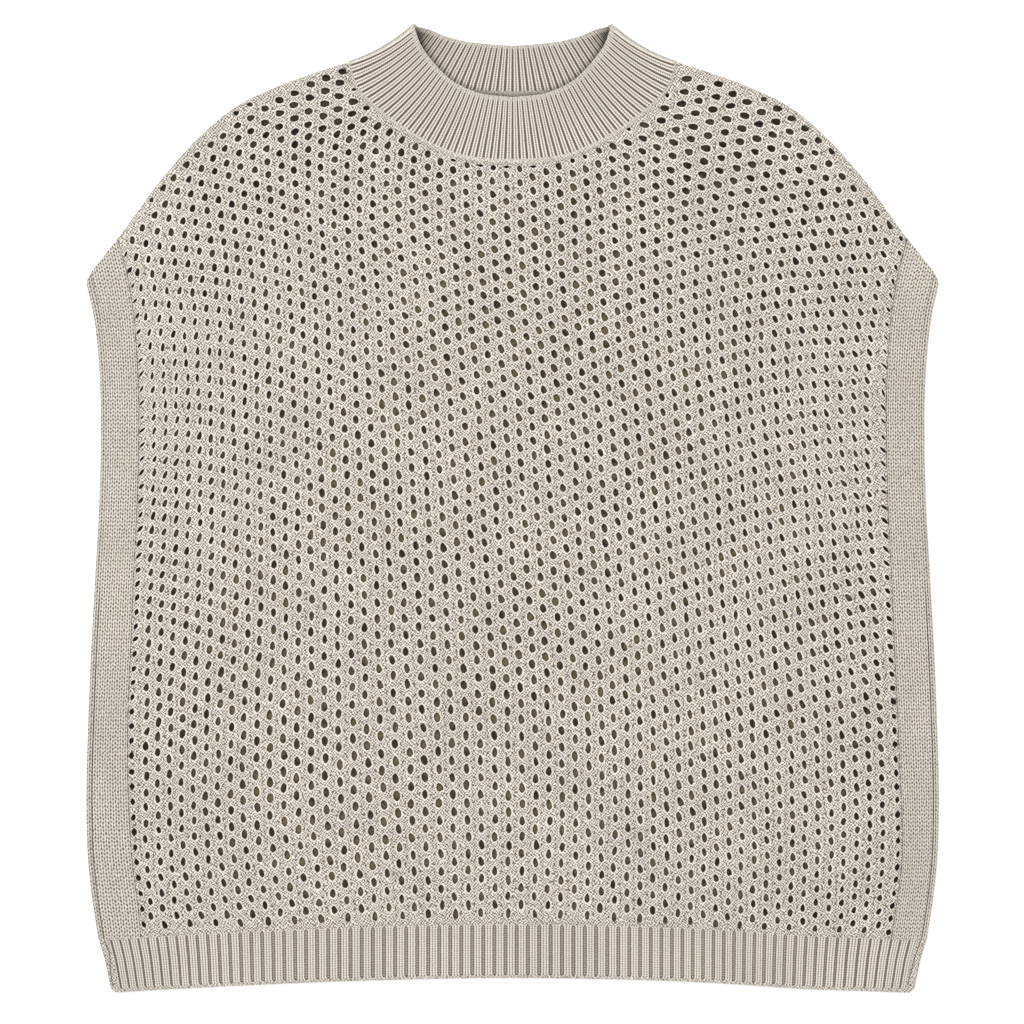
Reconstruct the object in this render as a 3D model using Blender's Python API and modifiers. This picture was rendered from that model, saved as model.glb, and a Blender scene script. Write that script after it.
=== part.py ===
"""Openwork knit vest with a ribbed mock neck, laid flat on a surface with its front up.

Metres. +X is to the right as the vest is looked down on, +Y is towards the collar and +Z is up
out of the surface. The origin is on the surface, under the middle of the vest. The back pieces
lie on the surface, the front pieces lie on the back ones, and the collar is one flattened tube.
"""

import math

import bmesh
import bpy
import numpy as np

# Driving dimensions. Heights in the plan are measured up the vest from the hem's lowest point.
VEST_LENGTH = 0.7070  # the hem's lowest point to the collar's top
SEAM_GAP = 0.0003  # between neighbouring pieces
PANEL_WALL = 0.0026  # openwork knit
BAND_WALL = 0.0024  # plain knit
RIB_WALL = 0.0020  # ribbed knit between its ribs
RIB_RISE = 0.0008  # how far a rib stands above that
FRONT_LEVEL = PANEL_WALL + SEAM_GAP  # underside of the front pieces
FRONT_CROWN = 0.0008  # how much the front panel swells in its middle

HEM_DEPTH = 0.0396
HEM_ARCH = 0.0110  # how much the hem's edge rises in the middle of the vest
HEM_HALF_WIDTH = 0.2894  # of its lowest edge
HEM_CORNER = 0.0040  # how much wider it is just above the rounded corners
HEM_RIBS = 76
HEM_CROWDING = 0.10  # how much closer the ribs are at the sides than in the middle

COLLAR_FRONT_RIBS = 52
COLLAR_BACK_RIBS = 34
COLLAR_FRONT_LEVEL = 0.0032  # underside of the collar's front at its seam
COLLAR_LIFT = 0.0028  # how much higher its free edge stands
COLLAR_FOLD_START = (0.1192, 0.6771)  # right end of the fold at the seam: half width, height
COLLAR_FOLD_END = (0.0706, 0.7035)  # and at the free edge
COLLAR_FOLD_POINTS = 3  # stations round each folded side

SIDE_TIP = (0.3106, 0.5205)  # outer end of the shoulder: half width, height
BAND_TOP = (0.2880, 0.5512)  # where the band's inner edge meets the shoulder

# Side of the vest: height, half width at the outer edge, half width at the band's inner edge.
SIDE_ROWS = (
    (0.0380, 0.3018, 0.2708),
    (0.0679, 0.3070, 0.2737),
    (0.0942, 0.3099, 0.2772),
    (0.1409, 0.3113, 0.2801),
    (0.1993, 0.3099, 0.2806),
    (0.2519, 0.3077, 0.2785),
    (0.3044, 0.3048, 0.2764),
    (0.3570, 0.3019, 0.2738),
    (0.4008, 0.3004, 0.2727),
    (0.4358, 0.3004, 0.2727),
    (0.4709, 0.3026, 0.2743),
    (0.4971, 0.3062, 0.2765),
    (0.5147, 0.3099, 0.2793),
    (0.5205, 0.3106, 0.2803),
    (0.5512, 0.3106, 0.2880),
)

# The edges below run from the middle of the vest outwards: half width, height.
SHOULDER_ROWS = (
    (0.1212, 0.6780),
    (0.1507, 0.6694),
    (0.1799, 0.6585),
    (0.2018, 0.6475),
    (0.2237, 0.6300),
    (0.2529, 0.5986),
    BAND_TOP,
)
FRONT_NECK_ROWS = (
    (0.0000, 0.6044),
    (0.0220, 0.6053),
    (0.0420, 0.6090),
    (0.0588, 0.6158),
    (0.0770, 0.6263),
    (0.0989, 0.6430),
    (0.1142, 0.6590),
    (0.1212, 0.6780),
)
BACK_NECK_ROWS = (
    (0.0000, 0.6530),
    (0.0400, 0.6550),
    (0.0800, 0.6612),
    (0.1050, 0.6675),
    (0.1180, 0.6722),
    (0.1212, 0.6780),
)
COLLAR_OPENING_ROWS = (
    (0.0000, 0.6534),
    (0.0260, 0.6570),
    (0.0445, 0.6660),
    (0.0577, 0.6790),
    (0.0675, 0.6930),
    COLLAR_FOLD_END,
)
COLLAR_BACK_EDGE_ROWS = (
    (0.0000, 0.6913),
    (0.0193, 0.6928),
    (0.0365, 0.6950),
    (0.0511, 0.6990),
    (0.0630, 0.7030),
    COLLAR_FOLD_END,
)

PANEL_ROWS = 18  # steps up the panels and the bands
NECK_STEPS = 10  # columns of a panel under half its neck
SHOULDER_STEPS = 7  # and under one shoulder
BACK_HEM_COLUMNS = 24
BAND_COLUMNS = (0.0, 0.45, 0.82, 0.95, 1.0)  # from the panel to the vest's outer edge
BAND_THICKNESS = (1.0, 1.0, 1.0, 0.85, 0.5)  # a front band thins where it rounds over
RIB_STATIONS = (0.0, 0.3, 0.7)  # within one rib: its groove and the two sides of its crest
RIB_HEIGHTS = (0.0, 1.0, 1.0)
HEM_LEVELS = (0.0, 0.08, 0.93, 1.0)  # from the free edge to the panel
COLLAR_LEVELS = (0.0, 0.13, 0.94, 1.0)  # from the seam to the free edge
LEVEL_RISES = (0.0, 1.0, 1.0, 0.0)  # ribs die out at a plain edge and at the seam

YARN = (0.57, 0.53, 0.48)  # undyed oatmeal yarn, linear RGB
YARN_ROUGHNESS = 0.9


def hermite(at, knots, values):
    """Values of a smooth curve through the knots."""
    values = np.asarray(values, float)
    slopes = np.gradient(values, knots, axis=0)
    left = np.clip(np.searchsorted(knots, at, side="right") - 1, 0, len(knots) - 2)
    width = knots[left + 1] - knots[left]
    t = (at - knots[left]) / width
    if values.ndim > 1:
        t, width = t[:, None], width[:, None]
    start = (1 + 2 * t) * (1 - t) ** 2 * values[left] + t * (1 - t) ** 2 * width * slopes[left]
    end = t * t * (3 - 2 * t) * values[left + 1] - t * t * (1 - t) * width * slopes[left + 1]
    return start + end


def side_half_widths(heights):
    """The outer edge's and the band's inner edge's half widths at the given heights."""
    table = np.array(SIDE_ROWS)
    at = np.clip(np.asarray(heights, float), table[0, 0], table[-1, 0])
    return hermite(at, table[:, 0], table[:, 1]), hermite(at, table[:, 0], table[:, 2])


def along(line, fractions):
    """Points at the given fractions of a line's length."""
    line = np.asarray(line, float)
    steps = np.linalg.norm(np.diff(line, axis=0), axis=1)
    length = np.concatenate([[0.0], np.cumsum(steps)])
    at = np.asarray(fractions) * length[-1]
    return np.stack([np.interp(at, length, line[:, k]) for k in (0, 1)], axis=1)


def edge_points(rows, steps):
    """Equally spaced points along a smooth edge through the rows."""
    rows = np.array(rows)
    chords = np.linalg.norm(np.diff(rows, axis=0), axis=1)
    knots = np.concatenate([[0.0], np.cumsum(chords)])
    fine = hermite(np.linspace(0.0, knots[-1], 40 * len(rows)), knots, rows)
    return along(fine, np.linspace(0.0, 1.0, steps + 1))


def whole_edge(half):
    """A half edge, given from the middle outwards, as one line from left to right."""
    left = half[:0:-1] * (-1.0, 1.0)
    return np.concatenate([left, half])


def inset(line, distance):
    """A left-to-right line moved to its left-hand side, towards the collar."""
    direction = np.gradient(line, axis=0)
    direction /= np.linalg.norm(direction, axis=1)[:, None]
    return line + distance * np.stack([-direction[:, 1], direction[:, 0]], axis=1)


def hem_edge(half_widths):
    """Height of the hem's free edge, which arches up in the middle."""
    return HEM_ARCH * np.clip(1 - (np.asarray(half_widths) / HEM_HALF_WIDTH) ** 2, 0, 1)


def placed(half_width, height, level):
    """A point of the plan in the vest's own frame."""
    return float(half_width), float(height) - VEST_LENGTH / 2, float(level)


def knit(name):
    """A matt yarn material of its own for each piece."""
    material = bpy.data.materials.new(name)
    material.use_nodes = True
    shader = material.node_tree.nodes["Principled BSDF"]
    shader.inputs["Base Color"].default_value = (*YARN, 1.0)
    shader.inputs["Roughness"].default_value = YARN_ROUGHNESS
    shader.inputs["Metallic"].default_value = 0.0
    return material


def add_piece(vest, name, mesh):
    """Puts a finished bmesh in the vest's collection as one named piece."""
    data = bpy.data.meshes.new(name)
    mesh.to_mesh(data)
    mesh.free()
    data.materials.append(knit(name))
    piece = bpy.data.objects.new(name, data)
    vest.objects.link(piece)
    return piece


def grid_wall(vest, name, place, columns, rows, thickness, mirrored):
    """A plain wall: a grid laid out by place(column, row), thickened upwards."""
    mesh = bmesh.new()
    bmesh.ops.create_grid(mesh, x_segments=columns, y_segments=rows, size=0.5)
    for vert in mesh.verts:
        column = round((vert.co.x + 0.5) * columns)
        row = round((vert.co.y + 0.5) * rows)
        vert.co = place(column, row)
    bmesh.ops.recalc_face_normals(mesh, faces=mesh.faces)
    if sum(face.normal.z for face in mesh.faces) < 0:
        bmesh.ops.reverse_faces(mesh, faces=mesh.faces)
    piece = add_piece(vest, name, mesh)
    if mirrored:
        mirror = piece.modifiers.new("other half", "MIRROR")
        mirror.merge_threshold = 0.00005
    wall = piece.modifiers.new("wall", "SOLIDIFY")
    wall.thickness = thickness
    wall.offset = 1.0
    return piece


def lofted_wall(vest, name, outer, inner, closed=False):
    """A wall between two skins of points, [station][level], with its rims closed."""
    mesh = bmesh.new()
    outer = [[mesh.verts.new(point) for point in station] for station in outer]
    inner = [[mesh.verts.new(point) for point in station] for station in inner]
    count = len(outer)
    for a in range(count if closed else count - 1):
        b = (a + 1) % count
        for skin in (outer, inner):
            for k in range(len(skin[a]) - 1):
                mesh.faces.new((skin[a][k], skin[b][k], skin[b][k + 1], skin[a][k + 1]))
        for k in (0, -1):
            mesh.faces.new((outer[a][k], inner[a][k], inner[b][k], outer[b][k]))
    if not closed:
        for end in (0, -1):
            mesh.faces.new(outer[end] + inner[end][::-1])
    bmesh.ops.recalc_face_normals(mesh, faces=mesh.faces)
    return add_piece(vest, name, mesh)


def panel(vest, name, neck_rows, level, crown):
    """An openwork panel, from its middle to the band: one half, mirrored."""
    neck = edge_points(neck_rows, NECK_STEPS)
    shoulder = edge_points(SHOULDER_ROWS, SHOULDER_STEPS)
    top = np.concatenate([neck, shoulder[1:]])
    share = top[:, 0] / side_half_widths(top[:, 1])[1]
    share[-1] = 1.0
    foot = share * SIDE_ROWS[0][2]
    bottom = hem_edge(foot) + HEM_DEPTH + SEAM_GAP

    def place(column, row):
        rise = row / PANEL_ROWS
        height = bottom[column] + rise * (top[column, 1] - bottom[column])
        half_width = share[column] * (float(side_half_widths([height])[1][0]) - SEAM_GAP / 2)
        swell = crown * math.cos(math.pi / 2 * share[column]) * math.sin(math.pi * rise)
        return placed(half_width, height, level + swell)

    return grid_wall(vest, name, place, len(top) - 1, PANEL_ROWS, PANEL_WALL, True)


def band(vest, name, side, level, wall, thickness):
    """A plain band beside a panel, from the hem to the shoulder, on one side."""
    low_inner = float(hem_edge(SIDE_ROWS[0][2])) + HEM_DEPTH + SEAM_GAP
    low_outer = HEM_DEPTH + SEAM_GAP
    outer_skin, inner_skin = [], []
    for row in range(PANEL_ROWS + 1):
        rise = row / PANEL_ROWS
        inner_height = low_inner + rise * (BAND_TOP[1] - low_inner)
        outer_height = low_outer + rise * (SIDE_TIP[1] - low_outer)
        near = float(side_half_widths([inner_height])[1][0]) + SEAM_GAP / 2
        far = float(side_half_widths([outer_height])[0][0])
        top, underside = [], []
        for across, share in zip(BAND_COLUMNS, thickness):
            half_width = side * (near + across * (far - near))
            height = inner_height + across * (outer_height - inner_height)
            top.append(placed(half_width, height, level + wall * share))
            underside.append(placed(half_width, height, level))
        outer_skin.append(top)
        inner_skin.append(underside)
    return lofted_wall(vest, name, outer_skin, inner_skin)


def rib_stations(ribs):
    """Where the stations of a run of ribs fall, 0 to 1, and how high each stands."""
    fractions = [(rib + part) / ribs for rib in range(ribs) for part in RIB_STATIONS]
    return np.array(fractions + [1.0]), np.array(list(RIB_HEIGHTS) * ribs + [0.0])


def hem_half_widths():
    """The hem's half width at each of its levels, from the free edge up."""
    heights = np.array(HEM_LEVELS) * HEM_DEPTH
    stops = (HEM_HALF_WIDTH, HEM_HALF_WIDTH + HEM_CORNER, SIDE_ROWS[0][1])
    return np.interp(heights, (0.0, heights[1], HEM_DEPTH), stops)


def front_hem(vest):
    """The ribbed front hem, with rounded lower corners."""
    fractions, heights = rib_stations(HEM_RIBS)
    across = 2 * fractions - 1
    across = (1 + HEM_CROWDING) * across - HEM_CROWDING * across**3
    half_widths = hem_half_widths()
    outer_skin, inner_skin = [], []
    for s, rib in zip(across, heights):
        top, underside = [], []
        for level, half_width, rise in zip(HEM_LEVELS, half_widths, LEVEL_RISES):
            x = s * half_width
            height = float(hem_edge(x)) + level * HEM_DEPTH
            wall = RIB_WALL + RIB_RISE * rib * rise
            top.append(placed(x, height, FRONT_LEVEL + wall))
            underside.append(placed(x, height, FRONT_LEVEL))
        outer_skin.append(top)
        inner_skin.append([underside[0], underside[1], underside[-1]])
    return lofted_wall(vest, "hem_front", outer_skin, inner_skin)


def back_hem(vest):
    """The back hem, whose ribs lie against the surface, so it is plain."""
    half_widths = hem_half_widths()

    def place(column, row):
        x = (2 * column / BACK_HEM_COLUMNS - 1) * half_widths[row]
        return placed(x, float(hem_edge(x)) + HEM_LEVELS[row] * HEM_DEPTH, 0.0)

    rows = len(HEM_LEVELS) - 1
    return grid_wall(vest, "hem_back", place, BACK_HEM_COLUMNS, rows, PANEL_WALL, False)


def collar_half(seam_rows, edge_rows, ribs):
    """One half of the flattened collar: its seam and edge lines, and its ribs' heights."""
    fractions, heights = rib_stations(ribs)
    seam = inset(whole_edge(edge_points(seam_rows, NECK_STEPS)), SEAM_GAP)
    seam[0] = (-COLLAR_FOLD_START[0], COLLAR_FOLD_START[1])
    seam[-1] = COLLAR_FOLD_START
    edge = whole_edge(edge_points(edge_rows, 4 * NECK_STEPS))
    return along(seam, fractions), along(edge, fractions), heights


def collar(vest):
    """The tubular collar: front from left to right, a fold, back from right to left, a fold."""
    half_wall = RIB_WALL / 2
    back_middle = half_wall
    outer_skin, inner_skin = [], []

    def front_middle(v):
        return COLLAR_FRONT_LEVEL + half_wall + v * COLLAR_LIFT

    def add_station(points, middles, outward, rises):
        top, underside = [], []
        for point, middle, normal, (outer_rise, inner_rise) in zip(points, middles, outward, rises):
            base = np.array((*point, middle))
            normal = np.array(normal)
            top.append(placed(*(base + normal * (half_wall + outer_rise))))
            underside.append(placed(*(base - normal * (half_wall + inner_rise))))
        outer_skin.append(top)
        inner_skin.append(underside)

    def add_half(seam, edge, ribs, front):
        for low, high, rib in zip(seam, edge, ribs):
            points = [low + v * (high - low) for v in COLLAR_LEVELS]
            if front:
                middles = [front_middle(v) for v in COLLAR_LEVELS]
                normal = (0.0, 0.0, 1.0)
                rises = [(RIB_RISE * rib * rise, 0.0) for rise in LEVEL_RISES]
            else:
                middles = [back_middle] * len(COLLAR_LEVELS)
                normal = (0.0, 0.0, -1.0)
                rises = [(0.0, RIB_RISE * rib * rise) for rise in LEVEL_RISES]
            add_station(points, middles, [normal] * len(COLLAR_LEVELS), rises)

    def add_fold(side):
        start = np.array(COLLAR_FOLD_START)
        run = np.array(COLLAR_FOLD_END) - start
        outwards = np.array((run[1], -run[0])) / np.linalg.norm(run)
        for step in range(1, COLLAR_FOLD_POINTS + 1):
            angle = side * (math.pi / 2 - math.pi * step / (COLLAR_FOLD_POINTS + 1))
            beside, up = outwards * math.cos(angle), math.sin(angle)
            points, middles = [], []
            for v in COLLAR_LEVELS:
                radius = (front_middle(v) - back_middle) / 2
                points.append((start + v * run + beside * radius) * (side, 1.0))
                middles.append(back_middle + radius + radius * up)
            normal = (side * beside[0], beside[1], up)
            flat = [(0.0, 0.0)] * len(COLLAR_LEVELS)
            add_station(points, middles, [normal] * len(COLLAR_LEVELS), flat)

    add_half(*collar_half(FRONT_NECK_ROWS, COLLAR_OPENING_ROWS, COLLAR_FRONT_RIBS), True)
    add_fold(1)
    seam, edge, ribs = collar_half(BACK_NECK_ROWS, COLLAR_BACK_EDGE_ROWS, COLLAR_BACK_RIBS)
    add_half(seam[::-1], edge[::-1], ribs[::-1], False)
    add_fold(-1)
    return lofted_wall(vest, "collar", outer_skin, inner_skin, closed=True)


def main():
    for old in list(bpy.data.objects):
        bpy.data.objects.remove(old)
    vest = bpy.data.collections.new("openwork_knit_vest")
    bpy.context.scene.collection.children.link(vest)
    panel(vest, "panel_back", BACK_NECK_ROWS, 0.0, 0.0)
    panel(vest, "panel_front", FRONT_NECK_ROWS, FRONT_LEVEL, FRONT_CROWN)
    for word, side in (("left", -1), ("right", 1)):
        band(vest, f"band_back_{word}", side, 0.0, PANEL_WALL, (1.0,) * len(BAND_COLUMNS))
        band(vest, f"band_front_{word}", side, FRONT_LEVEL, BAND_WALL, BAND_THICKNESS)
    back_hem(vest)
    front_hem(vest)
    collar(vest)


main()
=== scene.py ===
# Openwork knit vest, laid flat with its front up: the looks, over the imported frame.
import math

import bmesh
import bpy
import numpy as np
from mathutils.geometry import delaunay_2d_cdt
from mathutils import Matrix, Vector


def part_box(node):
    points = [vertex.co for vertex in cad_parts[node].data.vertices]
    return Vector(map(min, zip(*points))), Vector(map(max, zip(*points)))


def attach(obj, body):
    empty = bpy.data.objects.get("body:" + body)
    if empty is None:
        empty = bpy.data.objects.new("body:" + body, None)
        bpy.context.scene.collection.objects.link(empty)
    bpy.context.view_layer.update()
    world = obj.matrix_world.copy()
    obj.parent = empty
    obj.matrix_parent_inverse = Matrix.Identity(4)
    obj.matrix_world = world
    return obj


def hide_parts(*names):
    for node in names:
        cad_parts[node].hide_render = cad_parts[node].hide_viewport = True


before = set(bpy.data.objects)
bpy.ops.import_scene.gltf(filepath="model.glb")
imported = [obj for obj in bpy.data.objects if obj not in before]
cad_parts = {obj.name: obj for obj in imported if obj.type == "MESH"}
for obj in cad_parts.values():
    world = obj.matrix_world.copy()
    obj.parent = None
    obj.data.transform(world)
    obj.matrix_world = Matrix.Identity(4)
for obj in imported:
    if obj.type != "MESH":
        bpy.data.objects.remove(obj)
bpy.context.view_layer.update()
print("frame loaded")

mm = 0.001

# plan of the vest: half widths from its middle, heights from the hem's lowest point, in mm
vest = {
    "length": 707.0,
    "hemDepth": 39.6,
    "hemArch": 10.6,  # how much the free edge rises in the middle
    "archPower": 1.7,
    "sag": 1.8,  # how much it hangs lower on the right
    "sagPlace": 215.0,
    "sagReach": 52.0,
    "hemHalfWidth": 289.4,
    "hemCorner": 4.0,
    "seamGap": 0.3,
    "seamDrop": 0.9,  # of a panel's border, under its neighbour
    "armholeFoot": 294.0,  # below this the sides are sewn up
    "bulge": 7.0,  # how much further out the openwork's right seam lies near the hem
    "bulgeHeight": 78.0,
    "bulgeReach": 75.0,
}

# height, half width at the outer edge, half width where the band meets the openwork
sideRows = (
    (38.0, 302.3, 270.8),
    (67.9, 307.0, 273.7),
    (94.2, 309.9, 277.2),
    (140.9, 311.3, 280.1),
    (199.3, 309.9, 280.6),
    (251.9, 307.7, 278.5),
    (304.4, 304.8, 276.4),
    (357.0, 301.9, 273.8),
    (400.8, 300.8, 272.7),
    (435.8, 301.0, 272.7),
    (470.9, 303.1, 274.3),
    (497.1, 306.5, 276.5),
    (514.7, 310.6, 279.3),
    (520.5, 311.8, 280.3),
    (551.2, 311.8, 288.0),
)
sideTip = (311.8, 521.0)
bandTop = (288.0, 551.2)

# edges from the middle outwards: half width, height
shoulderRows = (
    (121.2, 679.2),
    (134.3, 675.3),
    (150.7, 669.8),
    (179.9, 658.5),
    (201.8, 647.5),
    (223.7, 630.0),
    (252.9, 598.6),
    bandTop,
)
frontNeckRows = (
    (0.0, 604.4),
    (22.0, 605.3),
    (42.0, 609.0),
    (58.8, 615.8),
    (77.0, 626.3),
    (98.9, 643.0),
    (114.2, 659.0),
    (121.2, 679.2),
)
backNeckRows = (
    (0.0, 653.0),
    (40.0, 655.0),
    (80.0, 661.2),
    (105.0, 667.5),
    (118.0, 672.6),
    (121.2, 679.2),
)
collarFold = ((119.2, 678.0), (71.2, 703.6))  # at the seam and at the free edge
backTip = (69.4, 705.8)  # where the free edge turns to the back
openingRows = (
    (0.0, 653.4),
    (26.0, 657.0),
    (44.5, 666.0),
    (57.7, 679.0),
    (67.5, 693.0),
    collarFold[1],
)
backEdgeRows = (
    (0.0, 691.9),
    (19.3, 693.3),
    (36.5, 695.6),
    (51.1, 699.7),
    (62.0, 704.1),
    backTip,
)

# levels above the surface, from the frame, in mm
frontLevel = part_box("panel_front")[0][2] / mm
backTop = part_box("panel_back")[1][2] / mm
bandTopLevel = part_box("band_front_left")[1][2] / mm
collarFrontLevel = 3.2
edgeLevel = (frontLevel + backTop) / 2  # where front and back meet at the sides


def hermite(at, knots, values):
    knots = np.asarray(knots, float)
    values = np.asarray(values, float)
    slopes = np.gradient(values, knots, axis=0)
    left = np.clip(np.searchsorted(knots, at, side="right") - 1, 0, len(knots) - 2)
    width = knots[left + 1] - knots[left]
    t = (at - knots[left]) / width
    if values.ndim > 1:
        t, width = t[..., None], width[..., None]
    start = (1 + 2 * t) * (1 - t) ** 2 * values[left] + t * (1 - t) ** 2 * width * slopes[left]
    end = t * t * (3 - 2 * t) * values[left + 1] - t * t * (1 - t) * width * slopes[left + 1]
    return start + end


def sideHalfWidths(heights):
    table = np.array(sideRows)
    at = np.clip(np.asarray(heights, float), table[0, 0], table[-1, 0])
    return hermite(at, table[:, 0], table[:, 1]), hermite(at, table[:, 0], table[:, 2])


def innerHalfWidths(heights, side):
    # where a band meets the openwork, on the left (-1) or the right (1)
    up = (np.asarray(heights, float) - vest["bulgeHeight"]) / vest["bulgeReach"]
    return sideHalfWidths(heights)[1] + vest["bulge"] * np.exp(-up ** 2) * (np.asarray(side) > 0)


def along(line, fractions):
    line = np.asarray(line, float)
    steps = np.linalg.norm(np.diff(line, axis=0), axis=1)
    length = np.concatenate([[0.0], np.cumsum(steps)])
    at = np.asarray(fractions) * length[-1]
    return np.stack([np.interp(at, length, line[:, k]) for k in (0, 1)], axis=1)


def lineLength(line):
    return float(np.linalg.norm(np.diff(line, axis=0), axis=1).sum())


def edgePoints(rows, steps):
    rows = np.array(rows)
    chords = np.linalg.norm(np.diff(rows, axis=0), axis=1)
    knots = np.concatenate([[0.0], np.cumsum(chords)])
    fine = hermite(np.linspace(0.0, knots[-1], 60 * len(rows)), knots, rows)
    return along(fine, np.linspace(0.0, 1.0, steps + 1))


def wholeEdge(half):
    return np.concatenate([half[:0:-1] * (-1.0, 1.0), half])


def toTheLeft(line, distance):
    direction = np.gradient(line, axis=0)
    direction /= np.linalg.norm(direction, axis=1)[:, None]
    return line + np.asarray(distance)[..., None] * np.stack([-direction[:, 1], direction[:, 0]], axis=1)


def hemEdge(halfWidths):
    across = np.asarray(halfWidths, float)
    arch = np.clip(1 - (np.abs(across) / vest["hemHalfWidth"]) ** vest["archPower"], 0, 1)
    sag = vest["sag"] * np.exp(-((across - vest["sagPlace"]) / vest["sagReach"]) ** 2)
    return vest["hemArch"] * arch - sag * (arch > 0)


def smooth(value, low, high):
    t = np.clip((np.asarray(value, float) - low) / (high - low), 0, 1)
    return t * t * (3 - 2 * t)


def placed(x, height, level):
    points = np.broadcast_arrays(x, np.asarray(height) - vest["length"] / 2, level)
    return np.stack(points, axis=-1) * mm


def addMesh(name, verts, faces, attributes):
    data = bpy.data.meshes.new(name)
    data.from_pydata(np.asarray(verts).reshape(-1, 3).tolist(), [], faces)
    for label, values in attributes.items():
        values = np.asarray(values, float)
        kind = "FLOAT" if values.ndim == 1 else "FLOAT_VECTOR"
        key = "value" if values.ndim == 1 else "vector"
        data.attributes.new(label, kind, "POINT").data.foreach_set(key, values.ravel())
    data.update()
    piece = bpy.data.objects.new(name, data)
    bpy.context.scene.collection.objects.link(piece)
    return piece


def loopWall(name, points, attributes, ring=False):
    # a closed wall from loops of points, [station][place in the loop]; its two ends are capped
    stations, count = points.shape[:2]
    index = np.arange(stations * count).reshape(stations, count)
    after = np.roll(index, -1, axis=0) if ring else index[1:]
    before = index if ring else index[:-1]
    quads = np.stack([before, after, np.roll(after, -1, 1), np.roll(before, -1, 1)], axis=-1)
    faces = quads.reshape(-1, 4).tolist()
    if not ring:
        faces += [index[0].tolist(), index[-1][::-1].tolist()]
    flat = {label: values.reshape(stations * count, *values.shape[2:])
            for label, values in attributes.items()}
    piece = addMesh(name, points, faces, flat)
    turnOut(piece)
    return piece


def turnOut(piece):
    mesh = bmesh.new()
    mesh.from_mesh(piece.data)
    if mesh.calc_volume(signed=True) < 0:
        bmesh.ops.reverse_faces(mesh, faces=mesh.faces)
    mesh.to_mesh(piece.data)
    mesh.free()


def addNode(tree, kind, inputs=None, **settings):
    made = tree.nodes.new(kind)
    for key, value in settings.items():
        setattr(made, key, value)
    for key, value in (inputs or {}).items():
        if isinstance(value, bpy.types.NodeSocket):
            tree.links.new(value, made.inputs[key])
        else:
            made.inputs[key].default_value = value
    return made


def maths(tree, operation, *values, clamp=False):
    inputs = dict(enumerate(values))
    return addNode(tree, "ShaderNodeMath", inputs, operation=operation, use_clamp=clamp).outputs[0]


def vectors(tree, operation, *values, **scale):
    inputs = {**dict(enumerate(values)), **{key.capitalize(): v for key, v in scale.items()}}
    made = addNode(tree, "ShaderNodeVectorMath", inputs, operation=operation)
    return made.outputs["Value" if operation in ("LENGTH", "DOT_PRODUCT", "DISTANCE") else "Vector"]


def ramp(tree, value, low, high, toLow=0.0, toHigh=1.0):
    inputs = {"Value": value, "From Min": low, "From Max": high, "To Min": toLow, "To Max": toHigh}
    made = addNode(tree, "ShaderNodeMapRange", inputs, interpolation_type="SMOOTHSTEP")
    return made.outputs["Result"]


def noise(tree, place, scale, detail=2.0):
    return addNode(tree, "ShaderNodeTexNoise", {"Vector": place, "Scale": scale, "Detail": detail}).outputs


def attribute(tree, name):
    return addNode(tree, "ShaderNodeAttribute", attribute_name=name).outputs


def mixed(tree, factor, first, second):
    return addNode(tree, "ShaderNodeMix", {0: factor, 2: first, 3: second}).outputs[0]


def parts(tree, vector):
    made = addNode(tree, "ShaderNodeSeparateXYZ", {0: vector})
    return made.outputs[0], made.outputs[1], made.outputs[2]


def newTree(name, kind, inputs, outputs):
    tree = bpy.data.node_groups.new(name, kind)
    for label, (socket, value) in inputs.items():
        made = tree.interface.new_socket(label, in_out="INPUT", socket_type="NodeSocket" + socket)
        if value is not None:
            made.default_value = value
    for label, socket in outputs.items():
        tree.interface.new_socket(label, in_out="OUTPUT", socket_type="NodeSocket" + socket)
    start = tree.nodes.new("NodeGroupInput")
    end = tree.nodes.new("NodeGroupOutput")
    return tree, start.outputs, end.inputs


def applyTree(piece, tree, values):
    # runs the tree on the piece with these inputs and keeps the result as a plain mesh
    modifier = piece.modifiers.new(tree.name, "NODES")
    modifier.node_group = tree
    identifiers = {item.name: item.identifier for item in tree.interface.items_tree
                   if item.item_type == "SOCKET" and item.in_out == "INPUT"}
    for label, value in values.items():
        modifier[identifiers[label]] = value
    evaluated = piece.evaluated_get(bpy.context.evaluated_depsgraph_get())
    data = bpy.data.meshes.new_from_object(evaluated)
    old = piece.data
    piece.modifiers.remove(modifier)
    piece.data = data
    bpy.data.meshes.remove(old)
    data.name = piece.name
    data.shade_smooth()
    print(f"{piece.name}: {sum(len(p.vertices) - 2 for p in data.polygons)} triangles")


# The form of the knitting from its stitch numbers: plain knit, or ribs of one or more wales.
stitchInputs = {
    "Groove Share": ("Float", 0.0),  # of a rib's pitch
    "Wales": ("Float", 1.0),  # in each rib
    "Softness": ("Float", 0.1),  # of the rib's flanks
    "Centre Width": ("Float", 0.5),
    "Centre Depth": ("Float", 0.5),
    "Border Width": ("Float", 0.3),
    "Border Depth": ("Float", 0.5),
    "Slant": ("Float", 0.5),
    "Stitch Depth": ("Float", 0.4),
}


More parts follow.
